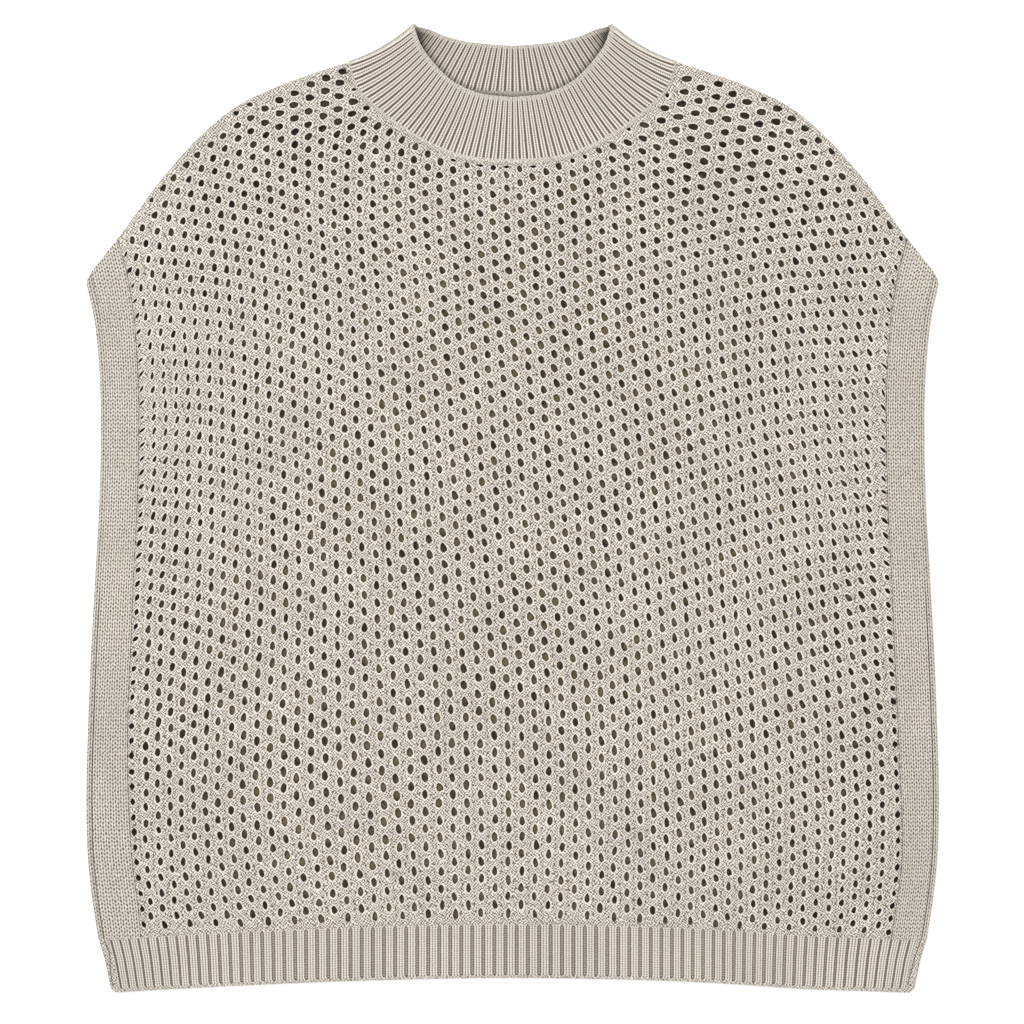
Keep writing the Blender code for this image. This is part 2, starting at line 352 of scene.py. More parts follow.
def stitchForm(tree, knit, start):
    wale, course, strength = parts(tree, knit)
    # a groove ends round where the knitting's strength fades
    missing = maths(tree, "MAXIMUM", maths(tree, "SUBTRACT", 1.0, strength), 0.0)
    left = maths(tree, "SUBTRACT", 1.0, maths(tree, "MULTIPLY", missing, missing))
    closing = maths(tree, "SQRT", maths(tree, "MAXIMUM", left, 0.0))
    widened = maths(tree, "MULTIPLY", closing, maths(tree, "MAXIMUM", strength, 1.0))
    share = maths(tree, "MULTIPLY", start["Groove Share"], widened)
    place = maths(tree, "FRACT", wale)
    mirrored = maths(tree, "MINIMUM", place, maths(tree, "SUBTRACT", 1.0, place))
    halfGroove = maths(tree, "MULTIPLY", share, 0.5)
    fromGroove = maths(tree, "SUBTRACT", mirrored, halfGroove)
    plateau = maths(tree, "MAXIMUM", ramp(tree, fromGroove, 0.0, start["Softness"]),
                    ramp(tree, strength, 0.3, 0.0))
    inRib = maths(tree, "DIVIDE", maths(tree, "SUBTRACT", place, halfGroove),
                  maths(tree, "SUBTRACT", 1.0, share))
    stitch = maths(tree, "FRACT", maths(tree, "MULTIPLY", inRib, start["Wales"]))
    fromCentre = maths(tree, "MULTIPLY", maths(tree, "ABSOLUTE", maths(tree, "SUBTRACT", stitch, 0.5)), 2.0)
    centre = ramp(tree, fromCentre, start["Centre Width"], 0.0)
    border = ramp(tree, fromCentre, maths(tree, "SUBTRACT", 1.0, start["Border Width"]), 1.0)
    leaning = maths(tree, "MULTIPLY_ADD", fromCentre, start["Slant"], course)
    phase = maths(tree, "FRACT", leaning)
    hump = maths(tree, "MULTIPLY", maths(tree, "MULTIPLY", phase, 4.0), maths(tree, "SUBTRACT", 1.0, phase))
    return strength, plateau, centre, border, hump


def buildReliefTree():
    inputs = {"Geometry": ("Geometry", None), "Rib Rise": ("Float", 0.0), "Stitch Rise": ("Float", 0.0002),
              **stitchInputs, "Material": ("Material", None)}
    tree, start, end = newTree("knitRelief", "GeometryNodeTree", inputs, {"Geometry": "Geometry"})
    knit = addNode(tree, "GeometryNodeInputNamedAttribute", {"Name": "knit"}, data_type="FLOAT_VECTOR")
    _, plateau, centre, border, hump = stitchForm(tree, knit.outputs["Attribute"], start)
    low = maths(tree, "MULTIPLY_ADD", centre, start["Centre Depth"],
                maths(tree, "MULTIPLY", border, start["Border Depth"]))
    leg = maths(tree, "SUBTRACT", 1.0, low)
    dip = maths(tree, "MULTIPLY", maths(tree, "SUBTRACT", 1.0, hump), start["Stitch Depth"])
    stitch = maths(tree, "MULTIPLY", maths(tree, "SUBTRACT", leg, dip), start["Stitch Rise"])
    raised = addNode(tree, "GeometryNodeInputNamedAttribute", {"Name": "raised"}, data_type="FLOAT")
    rise = maths(tree, "MULTIPLY", maths(tree, "MULTIPLY_ADD", plateau, start["Rib Rise"], stitch),
                 raised.outputs["Attribute"])
    normal = addNode(tree, "GeometryNodeInputNormal").outputs["Normal"]
    offset = vectors(tree, "SCALE", normal, scale=rise)
    moved = addNode(tree, "GeometryNodeSetPosition", {"Geometry": start["Geometry"], "Offset": offset})
    real = addNode(tree, "GeometryNodeRealizeInstances", {"Geometry": moved.outputs[0]})
    finished = addNode(tree, "GeometryNodeSetMaterial",
                       {"Geometry": real.outputs[0], "Material": start["Material"]})
    tree.links.new(finished.outputs[0], end["Geometry"])
    return tree


openwork = {
    "eyeletWidth": 1.0,  # against the measured sizes below
    "eyeletHeight": 1.0,
    "squareness": 2.4,  # 2 is an ellipse
    "slitSquareness": 1.35,
    "lip": 1.16,  # the rounded crest round an eyelet, against its opening
    "lipRise": 0.25 * mm,
    "depth": 2.45 * mm,
    "lastCourse": 51,
    "firstCourse": -65,
    "firstWale": -27,
    "lastWale": 31,
    "neckMargin": 0.7,  # least distance of an eyelet's middle from each edge, mm
    "sideMargin": 0.9,
    "shoulderMargin": 3.8,
    "hemMargin": 4.0,
    "dashPast": 3.4,  # an eyelet up to this far past the collar's front seam shows as a dash
    "dashReach": 62.0,  # from the middle of the neck
    "dashInset": 1.7,  # of a dash, from the seam, mm
    "dashBend": 170.0,  # radius of the seam there
    "dashWidth": 2.5,  # half of it
    "dashHeight": 1.05,
    "seamSlope": 14.0,  # over which the cloth comes to the level of a seam
    "rollSlope": (1.0, 9.0),  # over which it comes down towards the shoulder's rolled edge
    "rollFall": 0.25,  # share of that way
    "edgeStep": 3.4,  # between points of the outline, mm
    "clearing": 4.6,  # no net point of a seam lies this close to an eyelet's middle, mm
    "rollClearing": 2.4,  # nor one of the shoulder's rolled edge
    "rollRows": ((0.9, 0.62), (2.4, 0.95)),  # depth from the shoulder's edge, share of the full height
    "slitTop": 545.2,  # above this the outermost wales open like the others
    "darkRoom": 2.6,  # an eyelet this close to a seam has the seam's allowance behind it, a floor painted in the well's shade
    "tuck": 2.0,  # how far the panel runs under its neighbours
    "unevenness": 0.32,  # of the eyelets' places, mm
    "taper": 0.5,  # how much narrower an eyelet may be at one end
    "seed": 11,
}

# places of the eyelets where some courses cross some wales, measured, mm
crossedWales = (-28, -18, -8, 2, 12, 22, 32)
crossings = (
    # course, how far right, how high
    (-65, (-322, -217, -100, -8, 96, 208, 314), (686, 692, 696, 693, 681, 663, 638)),
    (-52, (-308, -211, -108, -13, 84, 197, 297), (603, 626, 637, 632, 621, 599, 563)),
    (-39, (-292, -203, -112, -14, 85, 186, 284), (524, 561, 576, 568, 558, 536, 494)),
    (-26, (-280, -197, -108, -11, 86, 181, 278), (452, 495, 511, 502, 491, 469, 428)),
    (-13, (-278, -195, -105, -6, 91, 185, 279), (386, 426, 441, 432, 422, 400, 361)),
    (0, (-281, -193, -102, -2, 95, 188, 282), (320, 355, 367, 360, 352, 330, 295)),
    (13, (-284, -193, -99, 2, 99, 191, 285), (255, 280, 291, 287, 280, 256, 230)),
    (26, (-285, -196, -97, 6, 102, 194, 288), (188, 201, 212, 211, 203, 181, 164)),
    (39, (-285, -196, -94, 7, 103, 195, 289), (117, 122, 131, 132, 125, 110, 100)),
    (52, (-282, -188, -90, 6, 102, 193, 284), (44, 46, 50, 52, 48, 43, 40)),
)

# lean (degrees, top to the left), half width and half height (mm) of the eyelets at some places
shapeAcross = (-270, -170, -70, 40, 150, 270)
shapeRows = (
    # height, leans, half widths, half heights
    (60, (18, 13, 4, 0, 3, -22), (1.45, 1.8, 1.6, 1.65, 1.6, 1.5), (2.7, 2.9, 3.1, 3.15, 2.75, 2.35)),
    (150, (0, -1, 6, 3, 11, 8), (1.65, 1.95, 2.0, 1.75, 1.6, 1.8), (3.1, 3.4, 3.35, 3.4, 3.2, 2.75)),
    (260, (-18, -2, 9, 11, 11, 30), (1.6, 1.75, 1.95, 1.9, 1.6, 1.6), (2.85, 3.25, 3.2, 3.05, 3.2, 2.85)),
    (400, (-22, -4, 10, 18, 19, 27), (1.05, 1.7, 1.85, 1.9, 1.6, 1.25), (2.9, 2.85, 3.05, 3.0, 2.9, 3.0)),
    (500, (-6, -4, 22, 24, 18, 28), (1.05, 1.6, 1.95, 1.95, 1.8, 1.3), (2.75, 2.75, 2.8, 2.85, 2.85, 2.75)),
    (560, (-17, 5, 30, 25, 38, 27), (1.8, 1.8, 1.95, 2.0, 1.95, 1.6), (2.7, 2.55, 2.65, 2.7, 2.65, 2.8)),
    (600, (-40, 0, 8, 25, 62, 30), (2.1, 2.0, 2.0, 1.9, 2.1, 2.0), (2.8, 2.45, 2.5, 2.75, 2.9, 2.7)),
    (640, (-35, -75, -50, 60, 86, 45), (1.9, 2.1, 1.9, 1.85, 2.1, 2.1), (2.75, 2.9, 3.1, 3.4, 3.2, 3.1)),
)

# the slits of the outermost wales: height, distance from the band, half width, half height, mm, and lean
slitRows = (
    (50, 2.6, 1.6, 2.6, -28),
    (110, 2.9, 1.7, 2.8, -12),
    (170, 2.6, 1.75, 2.8, 8),
    (215, 2.6, 1.6, 2.7, 30),
    (280, 3.0, 1.5, 2.8, 34),
    (380, 2.4, 1.0, 3.3, 40),
    (470, 2.2, 0.85, 3.0, 38),
    (545, 2.6, 1.2, 2.6, 22),
)


def slitSizes(height):
    rows = np.array(slitRows, float)
    return hermite(np.clip(height, 45, 548), rows[:, 0], rows[:, 1:]).T


def between(across, columns, up, rows, table):
    # values of a table at any place between its rows and columns
    byRow = hermite(np.clip(up, rows[0] - 8, rows[-1] + 8), rows, np.eye(len(rows)))
    byColumn = hermite(np.clip(across, columns[0] - 4, columns[-1] + 4), columns, np.eye(len(columns)))
    return np.einsum("ni,ij,nj->n", byRow, np.array(table, float), byColumn)


def eyeletPlaces(wale, course):
    courses, rights, heights = zip(*crossings)
    return (between(wale, crossedWales, course, courses, rights),
            between(wale, crossedWales, course, courses, heights))


def panelOutline(neckRows, step):
    # the panel's edges anticlockwise from the lower left corner, each with its kind
    start, foot = (float(innerHalfWidths(sideRows[0][0], side)) for side in (-1, 1))
    across = np.linspace(-start, foot, int(2 * foot / step))
    hem = np.stack([across, hemEdge(across) + vest["hemDepth"]], axis=1)
    low = float(hemEdge(foot)) + vest["hemDepth"]
    rise = np.linspace(low, bandTop[1], int((bandTop[1] - low) / step))
    left, right = (np.stack([side * innerHalfWidths(rise, side), rise], axis=1) for side in (-1, 1))
    shoulder = edgePoints(shoulderRows, int(lineLength(np.array(shoulderRows)) / step))[::-1]
    neck = wholeEdge(edgePoints(neckRows, int(lineLength(np.array(neckRows)) / step)))[::-1]
    mirrored = (-1.0, 1.0)
    lines = (
        ("hem", hem),
        ("side", right),
        ("shoulder", shoulder),
        ("neck", neck),
        ("shoulder", shoulder[::-1] * mirrored),
        ("side", left[::-1]),
    )
    points = np.concatenate([line[:-1] for kind, line in lines])
    kinds = np.concatenate([[kind] * (len(line) - 1) for kind, line in lines])
    return points, kinds


def outwards(points):
    direction = np.roll(points, -1, axis=0) - np.roll(points, 1, axis=0)
    direction /= np.linalg.norm(direction, axis=1)[:, None]
    return np.stack([direction[:, 1], -direction[:, 0]], axis=1)


def insideOf(points, outline):
    inside = np.zeros(len(points), bool)
    a, b = outline, np.roll(outline, -1, axis=0)
    for (ax, ay), (bx, by) in zip(a, b):
        crosses = (ay > points[:, 1]) != (by > points[:, 1])
        if crosses.any():
            meets = ax + (points[:, 1] - ay) / ((by - ay) or 1e-9) * (bx - ax)
            inside ^= crosses & (points[:, 0] < meets)
    return inside


def nearest(points, outline, chosen):
    # distance of each point from the chosen stretch of the outline, and the way to it
    start = outline[chosen]
    gap = points[:, None] - start[None]
    distance = np.linalg.norm(gap, axis=2)
    best = distance.argmin(axis=1)
    row = np.arange(len(points))
    return distance[row, best], -gap[row, best] / np.maximum(distance[row, best], 1e-6)[:, None]


def latticeEyelets(outline, kinds, front):
    # the eyelets inside the panel's edges, and how far off and which way each kind of edge lies
    random = np.random.default_rng(openwork["seed"])
    wales, courses = np.meshgrid(np.arange(openwork["firstWale"], openwork["lastWale"] + 1),
                                 np.arange(openwork["firstCourse"], openwork["lastCourse"] + 1))
    paired = (wales + courses) % 2 == 0
    wale, course = wales[paired].astype(float), courses[paired].astype(float)
    places = np.stack(eyeletPlaces(wale, course + (0.0 if front else 1.0)), axis=1)
    side = np.sign(places[:, 0])
    places += random.normal(0, openwork["unevenness"], places.shape)
    x, height = places.T
    outermost = np.isin(wale, (openwork["firstWale"], openwork["lastWale"])) & (height < openwork["slitTop"])
    dash = np.zeros(len(places), bool)
    if front:
        edge = innerHalfWidths(height, side) - slitSizes(height)[0]
        places[outermost, 0] = (side * edge)[outermost]
        necks = np.array(frontNeckRows)
        neck = hermite(np.clip(np.abs(x), 0, necks[-1, 0]), necks[:, 0], necks[:, 1])
        past = height - neck
        dash = (past > -openwork["neckMargin"]) & (past < openwork["dashPast"])
        dash &= np.abs(x) < openwork["dashReach"]
        places[dash, 1] = (neck - openwork["dashInset"])[dash]
    kept = insideOf(places, outline)
    room = np.full(len(places), 1e3)
    way = np.zeros_like(places)
    distances = {}
    for kind in ("neck", "side", "shoulder", "hem"):
        distances[kind], direction = nearest(places, outline, kinds == kind)
        kept &= distances[kind] > openwork[kind + "Margin"]
        closer = distances[kind] < room
        room = np.where(closer, distances[kind], room)
        way[closer] = direction[closer]
    found = {"places": places, "outermost": outermost, "dash": dash, "room": room, "way": way, **distances}
    return {label: values[kept] for label, values in found.items()}


def seamPoints(outline, kinds, eyelets, top, seamLevels, shoulderLevel):
    # the net's border, under the neighbouring pieces, and its rows of points along seams and shoulders
    normal = outwards(outline)
    rolled = kinds == "shoulder"
    tuck = np.where(rolled, 0.0, openwork["tuck"] if seamLevels else 0.0)
    tuck = np.minimum(np.minimum(np.roll(tuck, 1), np.roll(tuck, -1)), tuck)
    seam = np.array([seamLevels.get(kind, shoulderLevel + vest["seamDrop"]) for kind in kinds])
    border = outline + normal * tuck[:, None]
    borderLevel = np.where(rolled, shoulderLevel, seam - vest["seamDrop"])
    sewn = ~rolled & (tuck > 0)
    sewn[sewn] = nearest(outline[sewn], eyelets, slice(None))[0] > openwork["clearing"]
    rows = [outline[sewn]]
    levels = [seam[sewn]]
    for depth, share in openwork["rollRows"]:
        line = (outline - normal * depth)[rolled]
        line = line[nearest(line, eyelets, slice(None))[0] > openwork["rollClearing"]]
        rows.append(line)
        levels.append(shoulderLevel + (top(line) - shoulderLevel) * share)
    return border, borderLevel, np.concatenate(rows), np.concatenate(levels)


def panelCage(name, neckRows, step, top, seamLevels, shoulderLevel, front):
    # a net of triangles between the eyelets' middles and the panel's edges; its dual has one cell an eyelet
    outline, kinds = panelOutline(neckRows, step)
    found = latticeEyelets(outline, kinds, front)
    eyelets = found["places"]
    border, borderLevel, rows, rowLevels = seamPoints(outline, kinds, eyelets, top, seamLevels, shoulderLevel)
    level = top(eyelets)
    for kind, seamLevel in seamLevels.items():
        near = 1 - smooth(found[kind], 0.0, openwork["seamSlope"])
        level = level + near * (seamLevel - level)
    near = 1 - smooth(found["shoulder"], *openwork["rollSlope"])
    level = level + near * openwork["rollFall"] * (shoulderLevel - level)

    points = np.concatenate([border, rows, eyelets])
    levels = np.concatenate([borderLevel, rowLevels, level])
    count = len(border)
    verts, _, faces, fromVerts = delaunay_2d_cdt(
        [tuple(p) for p in points], [(k, (k + 1) % count) for k in range(count)],
        [list(range(count))], 1, 1e-4)[:4]
    origin = np.array([source[0] if source else -1 for source in fromVerts])
    cage = bmesh.new()
    eye = cage.verts.layers.float.new("eye")  # 0 ground, 1 an eyelet, 2 one whose floor stays, painted in the well's shade
    shape = cage.verts.layers.float_vector.new("shape")
    dark = np.where(found["outermost"] | (found["room"] < openwork["darkRoom"]), 2.0, 1.0)
    lean, wide, tall = eyeletShape(found, front)
    first = count + len(rows)
    corners = []
    for place, source in zip(verts, origin):
        vert = cage.verts.new((*place, levels[source]))
        corners.append(vert)
        if source >= first:
            n = source - first
            vert[eye] = dark[n]
            vert[shape] = (wide[n], tall[n], lean[n])
    for face in faces:
        cage.faces.new([corners[k] for k in face])
    loose = [vert for vert in corners if not vert.link_faces]
    bmesh.ops.delete(cage, geom=loose, context="VERTS")
    if front:
        poked = bmesh.ops.poke(cage, faces=cage.faces[:])
        for vert in poked["verts"]:
            vert[eye] = 0.0
    data = bpy.data.meshes.new(name)
    cage.to_mesh(data)
    cage.free()
    places = np.empty(len(data.vertices) * 3)
    data.vertices.foreach_get("co", places)
    data.vertices.foreach_set("co", placed(*places.reshape(-1, 3).T).ravel())
    piece = bpy.data.objects.new(name, data)
    bpy.context.scene.collection.objects.link(piece)
    if sum(face.normal.z for face in data.polygons) < 0:
        data.flip_normals()
    return piece


def eyeletShape(found, front):
    # lean in radians, half width and half height of each eyelet in metres
    x, height = found["places"].T
    way = np.abs(found["way"])
    random = np.random.default_rng(openwork["seed"] + 1)
    rows, leans, widths, heights = zip(*shapeRows)
    lean, wide, tall = (between(x, shapeAcross, height, rows, table) for table in (leans, widths, heights))
    patch = 0.05 * np.sin(x / 37 + 1.3) * np.cos(height / 41) + 0.04 * np.sin(x / 17 - height / 23)
    wide = wide * (1 + patch + random.normal(0, 0.06, len(x)))
    tall = tall * (1 + 0.5 * patch + random.normal(0, 0.06, len(x)))
    lean = np.radians(lean) + random.normal(0, 0.10, len(x))
    # an eyelet beside a seam is squeezed by it
    limit = np.minimum((found["room"] + openwork["tuck"]) / 2 - 0.1, found["shoulder"] - 2.2)
    squeeze = np.clip(limit / (way[:, 0] * wide + way[:, 1] * tall), 0.4, 1.0)
    wide = wide * (1 - way[:, 0] * (1 - squeeze))
    tall = tall * (1 - way[:, 1] * (1 - squeeze))
    # the outermost wales open as slanting slits
    slits = found["outermost"] & front
    spread = 0.12
    some = random.normal(1, spread, (3, len(x)))
    slitWide, slitTall, slitLean = slitSizes(height)[1:]
    slitLean = np.radians(slitLean + 8 * (some[0] - 1) / spread)
    lean = np.where(slits, np.sign(x) * slitLean, lean)
    wide = np.where(slits, slitWide * some[1], wide) * openwork["eyeletWidth"]
    tall = np.where(slits, slitTall * some[2], tall) * openwork["eyeletHeight"]
    # one cut by the seam of the collar's front is a flat dash
    lean = np.where(found["dash"], np.arctan(x / openwork["dashBend"]), lean)
    wide = np.where(found["dash"], openwork["dashWidth"], wide)
    tall = np.where(found["dash"], openwork["dashHeight"], tall)
    return lean, wide * mm, tall * mm


def buildEyeletTree():
    inputs = {
        "Geometry": ("Geometry", None),
        "Squareness": ("Float", openwork["squareness"]),
        "Slit Squareness": ("Float", openwork["slitSquareness"]),
        "Lip": ("Float", openwork["lip"]),
        "Lip Rise": ("Float", openwork["lipRise"]),
        "Depth": ("Float", openwork["depth"]),
        "Taper": ("Float", openwork["taper"]),
        "Closed": ("Bool", False),  # whether an eyelet ends on the cloth behind it
        "Material": ("Material", None),
    }
    tree, start, end = newTree("eyelets", "GeometryNodeTree", inputs, {"Geometry": "Geometry"})

    def named(label, kind="FLOAT_VECTOR"):
        node = addNode(tree, "GeometryNodeInputNamedAttribute", {"Name": label}, data_type=kind)
        return node.outputs["Attribute"]

    def store(geometry, label, value, kind, domain, **selection):
        inputs = {"Geometry": geometry, "Name": label, "Value": value, **selection}
        node = addNode(tree, "GeometryNodeStoreNamedAttribute", inputs, data_type=kind, domain=domain)
        return node.outputs[0]

    position = addNode(tree, "GeometryNodeInputPosition").outputs[0]
    kept = store(start["Geometry"], "middle", position, "FLOAT_VECTOR", "POINT")
    cells = addNode(tree, "GeometryNodeDualMesh", {"Mesh": kept, "Keep Boundaries": True}).outputs[0]
    cells = store(cells, "rim", 0.0, "FLOAT", "POINT")
    kind = named("eye", "FLOAT")
    isEyelet = maths(tree, "GREATER_THAN", kind, 0.5)
    exponent = ramp(tree, kind, 1.0, 2.0, start["Squareness"], start["Slit Squareness"])

    def ring(geometry, selection, scale, rise, rim):
        # a ring of points on each chosen cell's own ellipse
        grown = addNode(tree, "GeometryNodeExtrudeMesh",
                        {"Mesh": geometry, "Selection": selection, "Offset Scale": 0.0, "Individual": True},
                        mode="FACES")
        crown = grown.outputs["Top"]
        middle, shape = named("middle"), named("shape")
        wide, tall, lean = parts(tree, shape)
        dx, dy, _ = parts(tree, vectors(tree, "SUBTRACT", position, middle))
        level = addNode(tree, "ShaderNodeVectorRotate",
                        {"Vector": addNode(tree, "ShaderNodeCombineXYZ", {0: dx, 1: dy}).outputs[0],
                         "Angle": maths(tree, "MULTIPLY", lean, -1.0)}, rotation_type="Z_AXIS").outputs[0]
        dx, dy, _ = parts(tree, level)
        scaled = addNode(tree, "ShaderNodeCombineXYZ",
                         {0: maths(tree, "DIVIDE", dx, wide), 1: maths(tree, "DIVIDE", dy, tall)})
        ux, uy, _ = parts(tree, vectors(tree, "NORMALIZE", scaled.outputs[0]))
        squared = maths(tree, "ADD", maths(tree, "POWER", maths(tree, "ABSOLUTE", ux), exponent),
                        maths(tree, "POWER", maths(tree, "ABSOLUTE", uy), exponent))
        stretch = maths(tree, "POWER", squared, maths(tree, "DIVIDE", -1.0, exponent))
        upward = maths(tree, "MULTIPLY", uy, stretch)
        chance = addNode(tree, "ShaderNodeTexWhiteNoise", {"Vector": middle}).outputs["Value"]
        taper = maths(tree, "MULTIPLY", maths(tree, "SUBTRACT", chance, 0.25), start["Taper"])
        narrowed = maths(tree, "SUBTRACT", 1.0, maths(tree, "MULTIPLY", upward, taper))
        wideways = maths(tree, "MULTIPLY", maths(tree, "MULTIPLY", ux, stretch), wide)
        along = maths(tree, "MULTIPLY", wideways, narrowed)
        up = maths(tree, "MULTIPLY", upward, tall)
        flat = addNode(tree, "ShaderNodeCombineXYZ", {0: along, 1: up}).outputs[0]
        rotated = addNode(tree, "ShaderNodeVectorRotate", {"Vector": flat, "Angle": lean},
                          rotation_type="Z_AXIS").outputs[0]
        lift = addNode(tree, "ShaderNodeCombineXYZ", {2: rise}).outputs[0]
        place = vectors(tree, "ADD", middle, vectors(tree, "SCALE", rotated, scale=scale))
        place = vectors(tree, "ADD", place, lift)
        marked = store(grown.outputs["Mesh"], "rim", rim, "FLOAT", "POINT", Selection=crown)
        moved = addNode(tree, "GeometryNodeSetPosition",
                        {"Geometry": marked, "Selection": crown, "Position": place})
        return moved.outputs[0], crown

    crest, crown = ring(cells, isEyelet, start["Lip"], start["Lip Rise"], 1.0)
    down = maths(tree, "MULTIPLY", start["Depth"], -1.0)
    well, floor = ring(crest, crown, 0.9, down, 2.0)
    opened = maths(tree, "MULTIPLY", maths(tree, "SUBTRACT", 1.0, start["Closed"]),
                   maths(tree, "LESS_THAN", kind, 1.5))  # a slit keeps its floor, painted in the well's shade
    cut = addNode(tree, "GeometryNodeDeleteGeometry",
                  {"Geometry": well, "Selection": maths(tree, "MULTIPLY", floor, opened)},
                  domain="FACE", mode="ONLY_FACE")
    real = addNode(tree, "GeometryNodeRealizeInstances", {"Geometry": cut.outputs[0]})
    finished = addNode(tree, "GeometryNodeSetMaterial",
                       {"Geometry": real.outputs[0], "Material": start["Material"]})
    tree.links.new(finished.outputs[0], end["Geometry"])
    return tree


def frontTop(points):
    x, height = np.asarray(points).T
    share = np.clip(np.abs(x) / 285, 0, 1)
    rise = np.clip((height - 45) / 580, 0, 1)
    swell = 0.7 * np.cos(math.pi / 2 * share) * np.sin(math.pi * rise)
    uneven = 0.25 * np.sin(x / 63 + 0.6) * np.sin(height / 71 + 1.1) + 0.12 * np.sin(x / 29 - height / 37)
    return frontLevel + 2.35 + swell + uneven * smooth(285 - np.abs(x), 0, 60)


# colours are linear; the light one is the top of a stitch and the dark one the painted shade of the gap
# beside it
yarn = {
    "light": (0.600, 0.567, 0.508),
    "dark": (0.100, 0.077, 0.060),
    "wellShade": (0.014, 0.010, 0.007),  # painted shade down the well of an eyelet
    "heather": 0.16,  # how much fibres differ from each other
    "roughness": 0.88,
    "sheen": 0.25,
    "sheenRoughness": 0.5,
    "sheenTint": (0.95, 0.93, 0.88, 1.0),
    "beadPitch": 1.72,  # mm between the small loops of plain ground
    "pinPlace": 4.7 * mm,  # of the pin-hole, a dot of painted shade, on each side of an eyelet
    "pinRadius": (0.85 * mm, 0.5 * mm),  # where it begins and where it is darkest
    "pinDark": 1.3,
    "pinDrift": 6 * mm,  # how unevenly the pin-holes lie
    "rimHighlight": 1.06,  # painted highlight on the yarn round an eyelet
    # painted shade: the back panel's inner face is coloured dark brown for the shade between the layers
    "innerShadeLight": (0.150, 0.118, 0.071),
    "innerShadeDark": (0.070, 0.053, 0.030),
}


def buildStitchGroup():
    inputs = {"Knit": ("Vector", None), **stitchInputs, "Groove Dark": ("Float", 0.8), "Dots": ("Float", 0.5)}
    tree, start, end = newTree("stitchShade", "ShaderNodeTree", inputs, {"Shade": "Float", "Height": "Float"})
    strength, plateau, centre, border, hump = stitchForm(tree, start["Knit"], start)
    # painted shade: the grooves between ribs and the gaps between a stitch's legs are darkened in colour
    groove = maths(tree, "SUBTRACT", 1.0, plateau)
    bumps = ramp(tree, hump, 0.2, 0.9, 1.0, 0.72)
    gap = maths(tree, "SUBTRACT", 1.0, hump)
    dots = maths(tree, "MULTIPLY_ADD", gap, start["Dots"], maths(tree, "SUBTRACT", 1.0, start["Dots"]))
    low = maths(tree, "MULTIPLY", maths(tree, "MULTIPLY_ADD", centre, start["Centre Depth"],
                                        maths(tree, "MULTIPLY", border, start["Border Depth"])), dots)
    leg = maths(tree, "SUBTRACT", maths(tree, "SUBTRACT", 1.0, low),
                maths(tree, "MULTIPLY", gap, maths(tree, "MULTIPLY", start["Stitch Depth"], 0.5)))
    dark = maths(tree, "MULTIPLY", maths(tree, "MULTIPLY", groove, start["Groove Dark"]), bumps)
    shade = maths(tree, "SUBTRACT", leg, dark, clamp=True)
    tree.links.new(shade, end["Shade"])
    tree.links.new(maths(tree, "MULTIPLY", shade, strength), end["Height"])
    return tree


def buildBeadGroup():
    # small loops in a slanting net: light where each stands, with painted shade in the gaps between four of
    # them
    inputs = {"Place": ("Vector", None), "Pitch": ("Float", 1.72), "Warp": ("Float", 0.9),
              "Base": ("Float", 0.5), "Contrast": ("Float", 0.94)}
    tree, start, end = newTree("loopBeads", "ShaderNodeTree", inputs, {"Shade": "Float", "Height": "Float"})
    scaled = vectors(tree, "SCALE", start["Place"], scale=maths(tree, "DIVIDE", 1000.0, start["Pitch"]))
    turned = addNode(tree, "ShaderNodeVectorRotate", {"Vector": scaled, "Angle": math.radians(40)},
                     rotation_type="Z_AXIS").outputs[0]
    drift = vectors(tree, "SUBTRACT", noise(tree, turned, 0.4)["Color"], (0.5, 0.5, 0.5))
    shift = vectors(tree, "SCALE", drift, scale=maths(tree, "MULTIPLY", start["Warp"], 3.0))
    u, v, _ = parts(tree, vectors(tree, "ADD", turned, shift))
    waves = [maths(tree, "COSINE", maths(tree, "MULTIPLY", way, 2 * math.pi)) for way in (u, v)]
    both = maths(tree, "MULTIPLY", maths(tree, "ADD", *waves), 0.5)
    tone = noise(tree, scaled, 0.9)[0]
    uneven = maths(tree, "MULTIPLY_ADD", maths(tree, "SUBTRACT", tone, 0.5), 0.9, both)
    swing = maths(tree, "MULTIPLY", uneven, start["Contrast"])
    tree.links.new(maths(tree, "ADD", swing, start["Base"]), end["Shade"])
    tree.links.new(maths(tree, "MULTIPLY_ADD", both, 0.5, 0.5), end["Height"])
    return tree


def buildToneGroup():
    inputs = {"Shade": ("Float", 1.0), "Place": ("Vector", None), "Light": ("Color", (1, 1, 1, 1)),
              "Dark": ("Color", (0, 0, 0, 1)), "Heather": ("Float", 0.15), "Shadow": ("Float", 0.0)}
    tree, start, end = newTree("yarnTone", "ShaderNodeTree", inputs, {"Color": "Color"})
    fibres = noise(tree, start["Place"], 1400.0)[0]
    speck = maths(tree, "MULTIPLY", maths(tree, "SUBTRACT", fibres, 0.5), start["Heather"])
    level = maths(tree, "ADD", start["Shade"], maths(tree, "MULTIPLY", speck, 2.0))
    bounded = maths(tree, "MINIMUM", maths(tree, "MAXIMUM", level, 0.0), 1.1)
    toned = addNode(tree, "ShaderNodeMix", {0: bounded, 6: start["Dark"], 7: start["Light"]},
                    data_type="RGBA", clamp_factor=False)
    cloud = noise(tree, start["Place"], 16.0, 3.0)[0]
    drift = ramp(tree, cloud, 0.3, 0.7, 0.955, 1.035)
    # painted shade: Shadow darkens the colour and warms it towards brown, for light bounced between the yarns
    shaded = maths(tree, "MULTIPLY", drift, maths(tree, "SUBTRACT", 1.0, start["Shadow"]))
    made = vectors(tree, "SCALE", toned.outputs[2], scale=shaded)
    brown = vectors(tree, "MULTIPLY", made, (1.0, 0.93, 0.82))
    warm = addNode(tree, "ShaderNodeMix", {0: start["Shadow"], 6: made, 7: brown}, data_type="RGBA")
    tree.links.new(warm.outputs[2], end["Color"])
    return tree


groups = {"stitch": buildStitchGroup(), "beads": buildBeadGroup(), "tone": buildToneGroup()}


